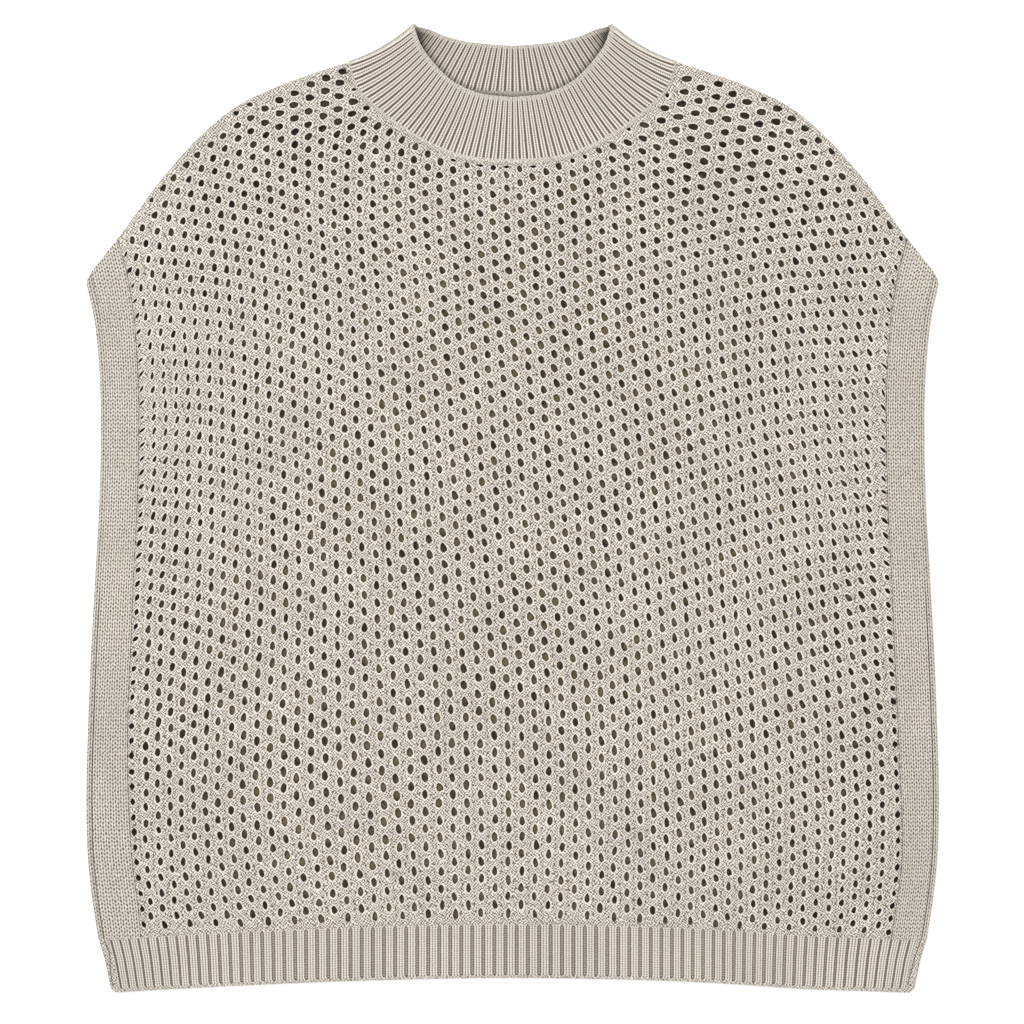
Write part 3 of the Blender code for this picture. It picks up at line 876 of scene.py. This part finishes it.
def useGroup(tree, name, values):
    made = tree.nodes.new("ShaderNodeGroup")
    made.node_tree = groups[name]
    for label, value in values.items():
        if isinstance(value, bpy.types.NodeSocket):
            tree.links.new(value, made.inputs[label])
        else:
            made.inputs[label].default_value = value
    return made.outputs


def yarnShader(name):
    material = bpy.data.materials.new(name)
    material.use_nodes = True
    tree = material.node_tree
    shader = tree.nodes["Principled BSDF"]
    shader.inputs["Roughness"].default_value = yarn["roughness"]
    shader.inputs["Sheen Weight"].default_value = yarn["sheen"]
    shader.inputs["Sheen Roughness"].default_value = yarn["sheenRoughness"]
    shader.inputs["Sheen Tint"].default_value = yarn["sheenTint"]
    shader.inputs["Specular IOR Level"].default_value = 0.25
    place = addNode(tree, "ShaderNodeTexCoord").outputs["Object"]
    return material, tree, shader, place


def finishShader(tree, shader, place, shade, height, depth, shadow, light=None, dark=None):
    colours = {"Light": (*(light or yarn["light"]), 1.0), "Dark": (*(dark or yarn["dark"]), 1.0)}
    colour = useGroup(tree, "tone", {"Shade": shade, "Place": place, "Heather": yarn["heather"],
                                     "Shadow": shadow, **colours})["Color"]
    fuzz = noise(tree, place, 2600.0)[0]
    rough = maths(tree, "MULTIPLY_ADD", fuzz, 0.12, height)
    bump = addNode(tree, "ShaderNodeBump", {"Height": rough, "Distance": depth, "Strength": 1.0})
    tree.links.new(bump.outputs[0], shader.inputs["Normal"])
    roughness = ramp(tree, fuzz, 0.3, 0.7, yarn["roughness"] - 0.06, yarn["roughness"] + 0.06)
    tree.links.new(roughness, shader.inputs["Roughness"])
    return colour


def ribMaterial(name, stitches, depth, jitter, looseBase, looseContrast):
    # knitting in rows and wales, which turns to small loops where its strength fades
    material, tree, shader, place = yarnShader(name)
    knit = attribute(tree, "knit")["Vector"]
    wander = vectors(tree, "SUBTRACT", noise(tree, place, 420.0, 1.0)["Color"], (0.5, 0.5, 0.5))
    shift = vectors(tree, "MULTIPLY", wander, jitter)
    stitch = useGroup(tree, "stitch", {"Knit": vectors(tree, "ADD", knit, shift), **stitches})
    beads = useGroup(tree, "beads", {"Place": place, "Pitch": yarn["beadPitch"], "Base": looseBase,
                                      "Contrast": looseContrast})
    strength = ramp(tree, parts(tree, knit)[2], 0.15, 0.85)
    shade = mixed(tree, strength, beads["Shade"], stitch["Shade"])
    height = mixed(tree, strength, beads["Height"], stitch["Shade"])
    colour = finishShader(tree, shader, place, shade, height, depth, attribute(tree, "shadow")["Fac"])
    tree.links.new(colour, shader.inputs["Base Color"])
    return material


def openworkMaterial(name):
    # the front of the openwork: small loops with painted shade between them, a painted highlight on the rim
    # round each eyelet, a pin-hole of painted shade on each side of it, painted shade down its well
    material, tree, shader, place = yarnShader(name)
    beads = useGroup(tree, "beads", {"Place": place, "Pitch": yarn["beadPitch"]})
    rim = attribute(tree, "rim")["Fac"]
    middle = attribute(tree, "middle")["Vector"]
    dx, dy, _ = parts(tree, vectors(tree, "SUBTRACT", place, middle))
    # the pin-hole beside an eyelet is a dot of painted shade with a small dip, placed a little unevenly
    drift = vectors(tree, "SUBTRACT", noise(tree, place, 70.0)["Color"], (0.5, 0.5, 0.5))
    shiftX, shiftY, _ = parts(tree, vectors(tree, "SCALE", drift, scale=yarn["pinDrift"]))
    sideways = maths(tree, "SUBTRACT", maths(tree, "ABSOLUTE", dx), yarn["pinPlace"])
    beside = maths(tree, "ADD", sideways, shiftX)
    above = maths(tree, "MULTIPLY", maths(tree, "ADD", dy, shiftY), 0.8)
    gap = maths(tree, "SQRT", maths(tree, "ADD", maths(tree, "MULTIPLY", beside, beside),
                                    maths(tree, "MULTIPLY", above, above)))
    pin = ramp(tree, gap, *yarn["pinRadius"])
    # painted highlight on the crest round each eyelet, in patches
    rimLight = maths(tree, "MULTIPLY", ramp(tree, rim, 0.45, 0.85), ramp(tree, rim, 1.25, 1.0))
    ground = maths(tree, "SUBTRACT", beads["Shade"], maths(tree, "MULTIPLY", pin, yarn["pinDark"]))
    highlightPatches = noise(tree, place, 260.0)[0]
    weight = maths(tree, "MULTIPLY", rimLight, ramp(tree, highlightPatches, 0.36, 0.6, 0.95, 0.5))
    shade = maths(tree, "MAXIMUM", mixed(tree, weight, ground, yarn["rimHighlight"]), 0.0)
    height = maths(tree, "SUBTRACT", beads["Height"], pin)
    colour = finishShader(tree, shader, place, shade, height, 0.00018, 0.0)
    # painted shade: the well's wall and floor darken towards the well's colour with depth
    wellShade = ramp(tree, rim, 1.08, 1.6)
    made = addNode(tree, "ShaderNodeMix", {0: wellShade, 6: colour, 7: (*yarn["wellShade"], 1.0)}, data_type="RGBA")
    tree.links.new(made.outputs[2], shader.inputs["Base Color"])
    return material


def innerShadeMaterial(name):
    # the back panel's inner face, seen through the front's eyelets: its colour is painted shade for the shade
    # between the layers, patchy and darker away from the panel's middle
    material, tree, shader, place = yarnShader(name)
    shader.inputs["Sheen Weight"].default_value = 0.0
    beads = useGroup(tree, "beads", {"Place": place, "Pitch": yarn["beadPitch"], "Contrast": 0.5})
    patches = noise(tree, place, 95.0, 1.0)[0]
    x, y, _ = parts(tree, place)
    high = maths(tree, "DIVIDE", maths(tree, "ADD", y, 0.08), 0.40)
    wide = maths(tree, "DIVIDE", x, 0.30)
    outer = maths(tree, "ADD", maths(tree, "MULTIPLY", high, high), maths(tree, "MULTIPLY", wide, wide))
    level = maths(tree, "MULTIPLY", ramp(tree, patches, 0.32, 0.68, 0.35, 1.5),
                  ramp(tree, outer, 0.3, 1.1, 0.98, 0.36))
    made = finishShader(tree, shader, place, beads["Shade"], beads["Height"], 0.0002, 0.0,
                        yarn["innerShadeLight"], yarn["innerShadeDark"])
    tree.links.new(vectors(tree, "SCALE", made, scale=level), shader.inputs["Base Color"])
    return material


eyeletTree = buildEyeletTree()
reliefTree = buildReliefTree()
openKnit = openworkMaterial("openKnit")
innerShadeKnit = innerShadeMaterial("innerShadeKnit")
print("materials and trees built")


seamLevels = {"hem": frontLevel + 2.35, "side": frontLevel + 2.4, "neck": collarFrontLevel + 2.0}
panelFront = panelCage("panelFront", frontNeckRows, openwork["edgeStep"], frontTop, seamLevels,
                       edgeLevel + 0.05, True)
applyTree(panelFront, eyeletTree, {"Lip": openwork["lip"], "Lip Rise": openwork["lipRise"],
                                   "Depth": openwork["depth"], "Closed": False, "Material": openKnit})


backLevel = 0.2  # of the back's underside, mm


def backUnder(points):
    return np.full(len(points), backLevel)


def closeBack(piece, level):
    # joins the back's eyelet skin, which faces down, to its plain inner face above
    mesh = bmesh.new()
    mesh.from_mesh(piece.data)
    bmesh.ops.reverse_faces(mesh, faces=mesh.faces)
    rim = [edge for edge in mesh.edges if len(edge.link_faces) == 1]
    grown = bmesh.ops.extrude_edge_only(mesh, edges=rim)["geom"]
    edges = [part for part in grown if isinstance(part, bmesh.types.BMEdge)]
    for part in grown:
        if isinstance(part, bmesh.types.BMVert):
            part.co.z = level
    upper = [edge for edge in edges if len(edge.link_faces) == 1]
    filled = bmesh.ops.edgeloop_fill(mesh, edges=upper)["faces"]
    cut = bmesh.ops.triangulate(mesh, faces=filled)["faces"]
    # the inner face takes the second material, painted in shade
    for face in cut:
        face.material_index = 1
    mesh.normal_update()
    if sum(face.normal.z for face in cut) < 0:
        bmesh.ops.reverse_faces(mesh, faces=cut)
    bmesh.ops.recalc_face_normals(mesh, faces=[f for f in mesh.faces if abs(f.normal.z) < 0.01])
    mesh.to_mesh(piece.data)
    mesh.free()


panelBack = panelCage("panelBack", backNeckRows, 2 * openwork["edgeStep"], backUnder, {}, backLevel, False)
applyTree(panelBack, eyeletTree, {"Lip": openwork["lip"], "Lip Rise": -0.15 * mm, "Depth": -2.1 * mm,
                                  "Closed": True, "Material": openKnit})
panelBack.data.materials.append(innerShadeKnit)
closeBack(panelBack, 2.5 * mm)
print("openwork panels made")


bands = {
    "wales": 8.2,
    "course": 2.85,  # mm
    "rowStep": 0.86,
    "columns": 80,
    "roll": 1.3,  # radius of the outer edge, mm
    "rollSteps": 5,
    "seamInset": 4.1,  # of the side seam's groove from the outer edge
    "seamWidth": 0.3,
    "seamDepth": 0.7,
    "edgeLine": 2.2,  # of the dotted line of painted shade beside the armhole, from the outer edge
    "edgeLineWidth": 0.4,
    "swell": 0.16,  # how unevenly a band lies
    "footDrop": 0.9,  # of its lowest row, under the hem
    "tipRound": (1.1, 0.3, 7.0),  # of the corner beside the shoulder: inwards, down, reach squared
    "jitter": (0.42, 0.6, 0.0),  # how uneven wales and courses are, in stitches
    "stitchRise": 0.22 * mm,
}
bandStitches = {
    "Groove Share": 0.0,
    "Wales": 1.0,
    "Softness": 0.001,
    "Centre Width": 0.52,
    "Centre Depth": 1.95,
    "Border Width": 0.52,
    "Border Depth": 1.95,
    "Slant": 0.5,
    "Stitch Depth": 0.12,
}


def band(name, side, level, wall, front):
    foot = float(innerHalfWidths(sideRows[0][0], side))
    lowInner = float(hemEdge(foot)) + vest["hemDepth"]
    lowOuter = vest["hemDepth"]
    length = bandTop[1] - lowInner
    rows = int(length / (bands["rowStep"] if front else 6 * bands["rowStep"]))
    roll = bands["roll"]
    body = np.linspace(-0.8 / length, 1 - roll / length, rows)
    quarter = np.linspace(0, math.pi / 2, 5)[1:]
    rise = np.concatenate([body, 1 - roll / length * (1 - np.sin(quarter))])
    fall = np.concatenate([np.zeros(rows), 1 - np.cos(quarter)])
    innerHeight = lowInner + rise * length
    outerHeight = lowOuter + rise * (sideTip[1] - lowOuter)
    near = innerHalfWidths(innerHeight, side)[:, None]
    far = sideHalfWidths(outerHeight)[0][:, None]
    width = far - near
    columns = bands["columns"] if front else bands["columns"] // 4
    flat = np.linspace(0, 1, columns + 1)[None] * (width - roll)
    turn = np.linspace(0, math.pi, 2 * bands["rollSteps"] + 1)[None, 1:]
    curl = width - roll + roll * np.sin(turn)
    back = np.linspace(1, 0, 4)[None, 1:] * (width - roll)
    across = np.concatenate([flat, curl, back], axis=1)
    upper = np.concatenate([np.ones_like(flat), (1 + np.cos(turn)) / 2 * np.ones_like(curl),
                            np.zeros_like(back)], axis=1)
    height = innerHeight[:, None] + across / width * (outerHeight - innerHeight)[:, None]
    top = wall * (1 - 0.55 * fall[:, None])
    z = level + upper * top + (1 - upper) * wall * 0.45 * fall[:, None]
    inwards, lower, reach = bands["tipRound"]
    corner = np.exp(-((width - across) ** 2 + ((1 - rise[:, None]) * length) ** 2) / reach)
    x = near + across - inwards * corner
    height = height - lower * corner
    onTop = np.concatenate([np.ones_like(flat), np.where(turn < 1.3, 1.0, 0.0) * np.ones_like(curl),
                            np.zeros_like(back)], axis=1)
    fromEdge = width - across
    # the side seam's groove is faint beside the armhole, a little less so near the tip
    sewn = 0.12 + 0.88 * (1 - smooth(height, vest["armholeFoot"] - 20, vest["armholeFoot"] + 10))
    sewn = sewn + 0.3 * smooth(height, 470, 500)
    crease = np.exp(-((fromEdge - bands["seamInset"]) / bands["seamWidth"]) ** 2) * sewn * onTop
    armhole = np.exp(-((fromEdge - bands["edgeLine"]) / bands["edgeLineWidth"]) ** 2) * onTop
    swell = bands["swell"] * np.sin(height / 47 + side) * np.sin(across / width * math.pi)
    if front:
        z = z - bands["seamDepth"] * crease + swell * onTop
        z = z - bands["footDrop"] * (rise < 0)[:, None] * onTop
    wales = across / width * bands["wales"]
    strength = onTop * np.clip(fromEdge / 1.2, 0, 1)
    knit = np.stack([wales, (height - lowOuter) / bands["course"], 0.2 + 0.8 * strength], axis=-1)
    raised = strength * (1 - fall[:, None]) * (1.0 if front else 0.0)
    # painted shade: in dashes along the seam with the openwork, in the side seam's groove, on the dotted line
    # beside the armhole, and a little all over
    gaps = 0.8 + 0.4 * np.sin(height * 0.66 + 2 * np.sin(height / 9))
    seamShadow = np.exp(-(across / 0.6) ** 2) * onTop * gaps
    shadow = np.clip(1.1 * crease + seamShadow + 0.28 * armhole + 0.07, 0, 0.9)
    points = placed(side * x, height, z)
    piece = loopWall(name, points, {"knit": knit, "raised": raised, "shadow": shadow})
    applyTree(piece, reliefTree, {**bandStitches, "Rib Rise": 0.0, "Stitch Rise": bands["stitchRise"],
                                  "Material": plainKnit})
    return piece


plainKnit = ribMaterial("plainKnit", {**bandStitches, "Groove Dark": 0.0, "Dots": 0.82}, 0.00015,
                        bands["jitter"], 0.62, 0.6)
bandWall = bandTopLevel - frontLevel
bandFrontLeft = band("bandFrontLeft", -1, frontLevel, bandWall, True)
bandFrontRight = band("bandFrontRight", 1, frontLevel, bandWall, True)
bandBackLeft = band("bandBackLeft", -1, 0.0, backTop, False)
bandBackRight = band("bandBackRight", 1, 0.0, backTop, False)
print("bands made")


hem = {
    "middleHalfWidth": 297.6,  # a little above the middle of its depth
    "widening": 0.85,  # of the grooves towards the middle
    "columnsPerRib": 12,
    "course": 1.75,
    "wall": 2.0,
    "ribRise": 0.6 * mm,
    "stitchRise": 0.25 * mm,
    "roll": 1.0,
    "plainEdge": 1.8,  # below the ribs, mm
    "ending": 1.6,  # over which a rib's groove closes
    "seamWidth": 0.34,
    "seamDepth": 0.45,
    "jitter": (0.035, 0.7, 0.0),
}
hemStitches = {
    "Groove Share": 0.15,
    "Wales": 3.0,
    "Softness": 0.04,
    "Centre Width": 0.4,
    "Centre Depth": 0.0,
    "Border Width": 0.72,
    "Border Depth": 1.3,
    "Slant": 0.5,
    "Stitch Depth": 0.5,
}

# where the ribs lie across the hem: rib, share of the half width
ribPlaces = (
    (-0.3, -1.0),
    (1.0, -0.9735),
    (4.0, -0.9127),
    (9.0, -0.8014),
    (14.0, -0.6735),
    (19.0, -0.540),
    (29.0, -0.2645),
    (38.5, -0.0037),
    (49.0, 0.2904),
    (59.0, 0.5499),
    (64.0, 0.6745),
    (69.0, 0.7995),
    (74.0, 0.923),
    (76.0, 0.9635),
    (77.8, 1.0),
)

# the side seam over the hem: height, distance from the left edge, from the right edge, mm
hemSeamRows = (
    (0.0, 1.6, 5.4),
    (10.0, 2.0, 5.3),
    (20.0, 3.0, 4.5),
    (28.5, 4.8, 4.4),
    (39.6, 3.8, 4.0),
)


def hemHalfWidth(height):
    corner = vest["hemHalfWidth"] + vest["hemCorner"]
    return np.interp(height, (0.0, 0.08 * vest["hemDepth"], 0.6 * vest["hemDepth"], vest["hemDepth"]),
                     (vest["hemHalfWidth"], corner, hem["middleHalfWidth"], sideRows[0][1]))


def hemPiece(name, level, wall, front):
    per = hem["columnsPerRib"] if front else 2
    knots, places = np.array(ribPlaces).T
    first, last = int(knots[1]), int(knots[-2])
    ribs = np.concatenate([np.linspace(knots[0], first, 3 * per, endpoint=False),
                           np.linspace(first, last, (last - first) * per, endpoint=False),
                           np.linspace(last, knots[-1], 3 * per + 1)])
    s = hermite(ribs, knots, places)
    endRoll = np.linspace(0, math.pi / 2, 5)[:-1]
    inset = hem["roll"] / 300 * (1 - np.sin(endRoll))
    keep = np.abs(s) < 1 - hem["roll"] / 300
    s = np.concatenate([-(1 - inset), s[keep], (1 - inset)[::-1]])
    ribs = np.concatenate([np.full(4, knots[0]), ribs[keep], np.full(4, knots[-1])])
    thin = np.concatenate([1 - np.sin(endRoll), np.zeros(keep.sum()), (1 - np.sin(endRoll))[::-1]])
    rows = int(vest["hemDepth"] / hem["course"] * 2) if front else 10
    roll = hem["roll"]
    down = np.linspace(vest["hemDepth"], roll, rows)
    turn = np.linspace(0, math.pi, 9)[1:]
    under = np.linspace(roll, vest["hemDepth"], 4)[1:]
    height = np.concatenate([down, roll - roll * np.sin(turn), under])
    upper = np.concatenate([np.ones(rows), (1 + np.cos(turn)) / 2, np.zeros(3)])
    onTop = np.concatenate([np.ones(rows), np.where(turn < 1.2, 1.0, 0.0), np.zeros(3)])
    wide = hemHalfWidth(height)
    foot = vest["hemHalfWidth"] + vest["hemCorner"]
    x = s[:, None] * np.minimum(wide, foot)[None] + (s * s ** 4)[:, None] * np.maximum(wide - foot, 0)[None]
    lift = 0.38 * smooth(height, vest["hemDepth"] - 3.0, vest["hemDepth"]) if front else 0.0
    z = level + upper * (wall + lift) * np.ones_like(x)
    z = level + wall * 0.45 * thin[:, None] + (z - level) * (1 - 0.75 * thin[:, None])
    if front:
        z = z + 0.15 * np.sin(x / 31) * np.sin(height / 13)[None] * onTop
    fade = np.clip((height - hem["plainEdge"]) / hem["ending"], 0, 1)
    fade = fade * np.clip((vest["hemDepth"] - height - 0.2) / hem["ending"], 0, 1)
    wider = 1 + hem["widening"] * smooth(1 - np.abs(s), 0.06, 0.36)
    strength = (fade * onTop)[None] * (wider * (1 - smooth(np.abs(s), 0.976, 0.981)))[:, None]
    knit = np.stack([ribs[:, None] * np.ones_like(x), height[None] / hem["course"] * np.ones_like(x),
                     strength], axis=-1)
    raised = np.minimum(strength, 1) * (1 - thin[:, None]) * (1.0 if front else 0.0)
    low, left, right = np.array(hemSeamRows).T
    seam = np.where(x < 0, np.interp(height, low, left)[None], np.interp(height, low, right)[None])
    crease = np.exp(-((wide[None] - np.abs(x) - seam) / hem["seamWidth"]) ** 2)
    crease = crease * (smooth(height, 3, 7) * onTop)[None]
    z = z - hem["seamDepth"] * crease * (1.0 if front else 0.0)
    # painted shade: in the side seam's crease, and a little all over the top face
    shadow = (0.09 + 0.75 * crease) * onTop[None]
    points = placed(x, hemEdge(x) + height[None], z)
    piece = loopWall(name, points, {"knit": knit, "raised": raised, "shadow": shadow})
    applyTree(piece, reliefTree, {**hemStitches, "Rib Rise": hem["ribRise"], "Stitch Rise": hem["stitchRise"],
                                  "Material": hemKnit})
    return piece


hemKnit = ribMaterial("hemKnit", {**hemStitches, "Groove Dark": 0.75, "Dots": 0.6}, 0.00012,
                      hem["jitter"], 0.58, 0.7)
hemFront = hemPiece("hemFront", frontLevel, hem["wall"], True)
hemBack = hemPiece("hemBack", 0.0, backTop, False)
print("hem made")


collarShape = {
    "frontRibs": 56,
    "backRibs": 44,
    "firstGroove": 0.3,  # of a rib, from each fold
    "columnsPerRib": 8,
    "outerRows": 46,
    "innerRows": 30,
    "foldSteps": 8,
    "wall": 2.0,
    "lift": 2.8,  # how much higher the free edge stands than the seam
    "course": 1.75,
    "ribRise": 0.55 * mm,
    "stitchRise": 0.22 * mm,
    "plainSeam": 0.09,  # share of the depth knitted plain at the seam
    "plainEdge": 0.075,
    "crowding": (-0.02, 0.10),  # of the ribs towards the folds, at the free edge: front, back
    "tipCrowding": 0.48,  # of the back's ribs beside the folds, at the free edge
    "jitter": (0.06, 0.4, 0.0),
    "hollow": 3.2,  # how far the folds and the ribs beside them curve in, mm
    "plainBack": 0.14,  # like plainSeam, of the back's inner face
    "backShade": (0.07, 0.16, 0.62),  # painted shade of that face in the middle, and more towards the folds and in them
    "gapShade": 0.34,  # painted shadow of that face close above the front's free edge
    "seamShade": 0.2,  # painted shade along the seam
    "edgeShade": 0.07,  # painted shade of the plain free edge
    "deepest": 0.84,  # no painted shade is deeper
}
collarStitches = {
    "Groove Share": 0.2,
    "Wales": 1.0,
    "Softness": 0.11,
    "Centre Width": 0.5,
    "Centre Depth": 1.25,
    "Border Width": 0.3,
    "Border Depth": 0.0,
    "Slant": 0.5,
    "Stitch Depth": 0.3,
}


def collarPiece(name):
    half = collarShape["wall"] / 2
    outerV = np.linspace(0, 1, collarShape["outerRows"])
    innerV = np.linspace(1, 0, collarShape["innerRows"])
    turn = np.linspace(0, math.pi, 8)[1:-1]
    stations = []

    def frontMiddle(v):
        return collarFrontLevel + half + v * collarShape["lift"]

    opening = wholeEdge(edgePoints(openingRows, 120))

    def station(low, high, middle, normal, ribs, outerRaised, innerRaised, hollow, plain, dim, rim=0.0,
                turned=False):
        # one turn of the wall: up its outer face, round the free edge and down its inner face
        low, high, normal = np.asarray(low), np.asarray(high), np.asarray(normal)
        run = high - low
        length = np.linalg.norm(run)
        shorter = 1 - half / length
        v = np.concatenate([outerV * shorter, shorter + half / length * np.sin(turn), innerV * shorter])
        away = np.concatenate([np.ones(len(outerV)), np.cos(turn), -np.ones(len(innerV))]) * half
        beside = np.array((-run[1], run[0])) / length
        centre = low + v[:, None] * run + (4 * v * (1 - v) * hollow)[:, None] * beside
        points = np.concatenate([centre, np.array([middle(t) for t in v])[:, None]], axis=1)
        points = points + away[:, None] * normal
        fade = smooth(v, plain * 0.55, plain * 1.25) * (0.5 if turned else 1.0)
        bound = smooth(v, 1 - collarShape["plainEdge"] - 0.02, 1 - collarShape["plainEdge"] + 0.015)
        outer = np.concatenate([np.ones(len(outerV)), np.zeros(len(turn) + len(innerV))])
        raised = fade * (1 - bound) * (outer * outerRaised + (1 - outer) * innerRaised)
        if dim > 0:
            # painted shade on the back's inner face: along the seam, over the face, and darker close above
            # the front's free edge
            gap = np.linalg.norm(centre[:, None] - opening[None], axis=2).min(axis=1)
            shade = collarShape["seamShade"] * (1 - smooth(v, 0.05, 0.16)) + dim * (1 - 0.6 * bound)
            shade = (1 - outer) * (shade + collarShape["gapShade"] * (1 - smooth(gap, 0.5, 5.0)))
        else:
            # painted shade on the outer face: rim all over it, and more along the seam
            seamShadow = collarShape["seamShade"] * np.exp(-((v * length - 0.9) / 0.8) ** 2)
            shade = outer * (rim + (0 if turned else 1) * seamShadow)
        knit = np.stack([np.full(len(v), ribs), v * length / collarShape["course"],
                         fade * (1 - 0.55 * bound)], axis=1)
        stations.append((points, knit, raised, shade + collarShape["edgeShade"] * bound))

    def wholeHalf(seamRows, edgeRows, ribs, crowding):
        count = ribs * collarShape["columnsPerRib"] + 1
        seam = toTheLeft(wholeEdge(edgePoints(seamRows, 40)), vest["seamGap"] / 2)
        seam[0] = (-collarFold[0][0], collarFold[0][1])
        seam[-1] = collarFold[0]
        edge = wholeEdge(edgePoints(edgeRows, 120))
        share = np.linspace(0, 1, count)
        crowded = share - crowding * np.sin(2 * math.pi * share) / (2 * math.pi)
        if seamRows is backNeckRows:
            ends = np.minimum(crowded, 1 - crowded)
            ends = ends * (1 - collarShape["tipCrowding"] * (1 - smooth(ends, 0.0, 0.3)))
            crowded = np.where(share < 0.5, ends, 1 - ends)
        first = 1 - collarShape["firstGroove"]
        return along(seam, share), along(edge, crowded), first + share * (ribs - 2 * first), 2 * share - 1

    def plainShare(t):
        return collarShape["plainSeam"] * (1 - 0.65 * t * t)

    def fold(side, ribs):
        start = np.array(collarFold[0])
        run = np.array(collarFold[1]) - start
        outward = np.array((run[1], -run[0])) / np.linalg.norm(run)
        steps = collarShape["foldSteps"]
        for step in range(1, steps):
            angle = side * (math.pi / 2 - math.pi * step / steps)
            beside, up = outward * math.cos(angle), math.sin(angle)

            def radius(v):
                return (frontMiddle(v) - half) / 2

            low = (start + beside * radius(0)) * (side, 1.0)
            tip = start + run + (np.array(backTip) - start - run) * (1 - up) / 2
            high = (tip + beside * radius(1)) * (side, 1.0)
            about = 0.5 - abs(step / steps - 0.5)
            station(low, high, lambda v: half + radius(v) * (1 + up), (side * beside[0], beside[1], up),
                    ribs + 0.6 * side * about, 0.3, 0.0, side * hollow, plainShare(1.0), 0.0, 0.07, True)

    hollow = collarShape["hollow"]
    seam, edge, ribs, place = wholeHalf(frontNeckRows, openingRows, collarShape["frontRibs"],
                                        collarShape["crowding"][0])
    for low, high, rib, t in zip(seam, edge, ribs, place):
        station(low, high, frontMiddle, (0.0, 0.0, 1.0), rib, 1.0, 0.0, hollow * t * abs(t),
                plainShare(t), 0.0, 0.02)
    fold(1, float(ribs[-1]))
    seam, edge, ribs, place = wholeHalf(backNeckRows, backEdgeRows, collarShape["backRibs"],
                                        collarShape["crowding"][1])
    middleShade, moreShade, foldShade = collarShape["backShade"]
    for low, high, rib, t in zip(seam[::-1], edge[::-1], ribs[::-1], place[::-1]):
        dim = middleShade + moreShade * float(smooth(abs(t), 0.3, 0.8))
        dim = dim + foldShade * float(smooth(abs(t), 0.6, 0.92))
        station(low, high, lambda v: half, (0.0, 0.0, -1.0), rib, 0.0, 1.0, hollow * t * abs(t) ** 3,
                collarShape["plainBack"], dim)
    fold(-1, 1 - collarShape["firstGroove"])
    points, knit, raised, shadow = (np.array(column) for column in zip(*stations))
    shadow = np.clip(shadow, 0, collarShape["deepest"])
    points = placed(points[..., 0], points[..., 1], points[..., 2])
    piece = loopWall(name, points, {"knit": knit, "raised": raised, "shadow": shadow}, ring=True)
    applyTree(piece, reliefTree, {**collarStitches, "Rib Rise": collarShape["ribRise"],
                                  "Stitch Rise": collarShape["stitchRise"], "Material": collarKnit})
    return piece


collarKnit = ribMaterial("collarKnit", {**collarStitches, "Groove Dark": 1.9, "Dots": 0.5}, 0.00015,
                         collarShape["jitter"], 0.66, 0.5)
collarRib = collarPiece("collarRib")
print("collar made")


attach(panelFront, "root")
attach(panelBack, "root")
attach(bandFrontLeft, "root")
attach(bandFrontRight, "root")
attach(bandBackLeft, "root")
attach(bandBackRight, "root")
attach(hemFront, "root")
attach(hemBack, "root")
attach(collarRib, "root")
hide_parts("panel_front")
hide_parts("panel_back")
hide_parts("band_front_left")
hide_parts("band_front_right")
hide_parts("band_back_left")
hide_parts("band_back_right")
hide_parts("hem_front")
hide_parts("hem_back")
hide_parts("collar")


studio = {
    "frameWidth": 0.7475,  # of the view at the vest's level
    "lens": 100.0,
    "aim": (-0.0004, -0.0026, 0.005),
    "floor": (0.93, 0.93, 0.925, 1.0),
    "sky": 1.2,
    "keyPower": 36.0,
}


def buildStudio():
    floorMesh = bpy.data.meshes.new("floor")
    plane = bmesh.new()
    bmesh.ops.create_grid(plane, x_segments=1, y_segments=1, size=6.0)
    for vert in plane.verts:
        vert.co.z = -0.0002
    plane.to_mesh(floorMesh)
    plane.free()
    floor = bpy.data.objects.new("floor", floorMesh)
    bpy.context.scene.collection.objects.link(floor)
    pale = bpy.data.materials.new("paleFloor")
    pale.use_nodes = True
    shader = pale.node_tree.nodes["Principled BSDF"]
    shader.inputs["Base Color"].default_value = studio["floor"]
    shader.inputs["Roughness"].default_value = 0.9
    floorMesh.materials.append(pale)

    world = bpy.data.worlds.new("studio")
    bpy.context.scene.world = world
    world.use_nodes = True
    sky = world.node_tree.nodes["Background"]
    sky.inputs["Color"].default_value = (1.0, 1.0, 1.0, 1.0)
    sky.inputs["Strength"].default_value = studio["sky"]

    lamp = bpy.data.lights.new("key", "AREA")
    lamp.energy = studio["keyPower"]
    lamp.size = 1.6
    key = bpy.data.objects.new("key", lamp)
    key.location = (-0.5, 0.8, 2.4)
    key.rotation_mode = "QUATERNION"
    key.rotation_quaternion = key.location.normalized().to_track_quat("Z", "Y")
    bpy.context.scene.collection.objects.link(key)

    lens = bpy.data.cameras.new("camera")
    lens.lens = studio["lens"]
    camera = bpy.data.objects.new("camera", lens)
    x, y, level = studio["aim"]
    camera.location = (x, y, level + studio["frameWidth"] * studio["lens"] / lens.sensor_width)
    bpy.context.scene.collection.objects.link(camera)
    bpy.context.scene.camera = camera
    bpy.context.scene.view_settings.view_transform = "Standard"


buildStudio()
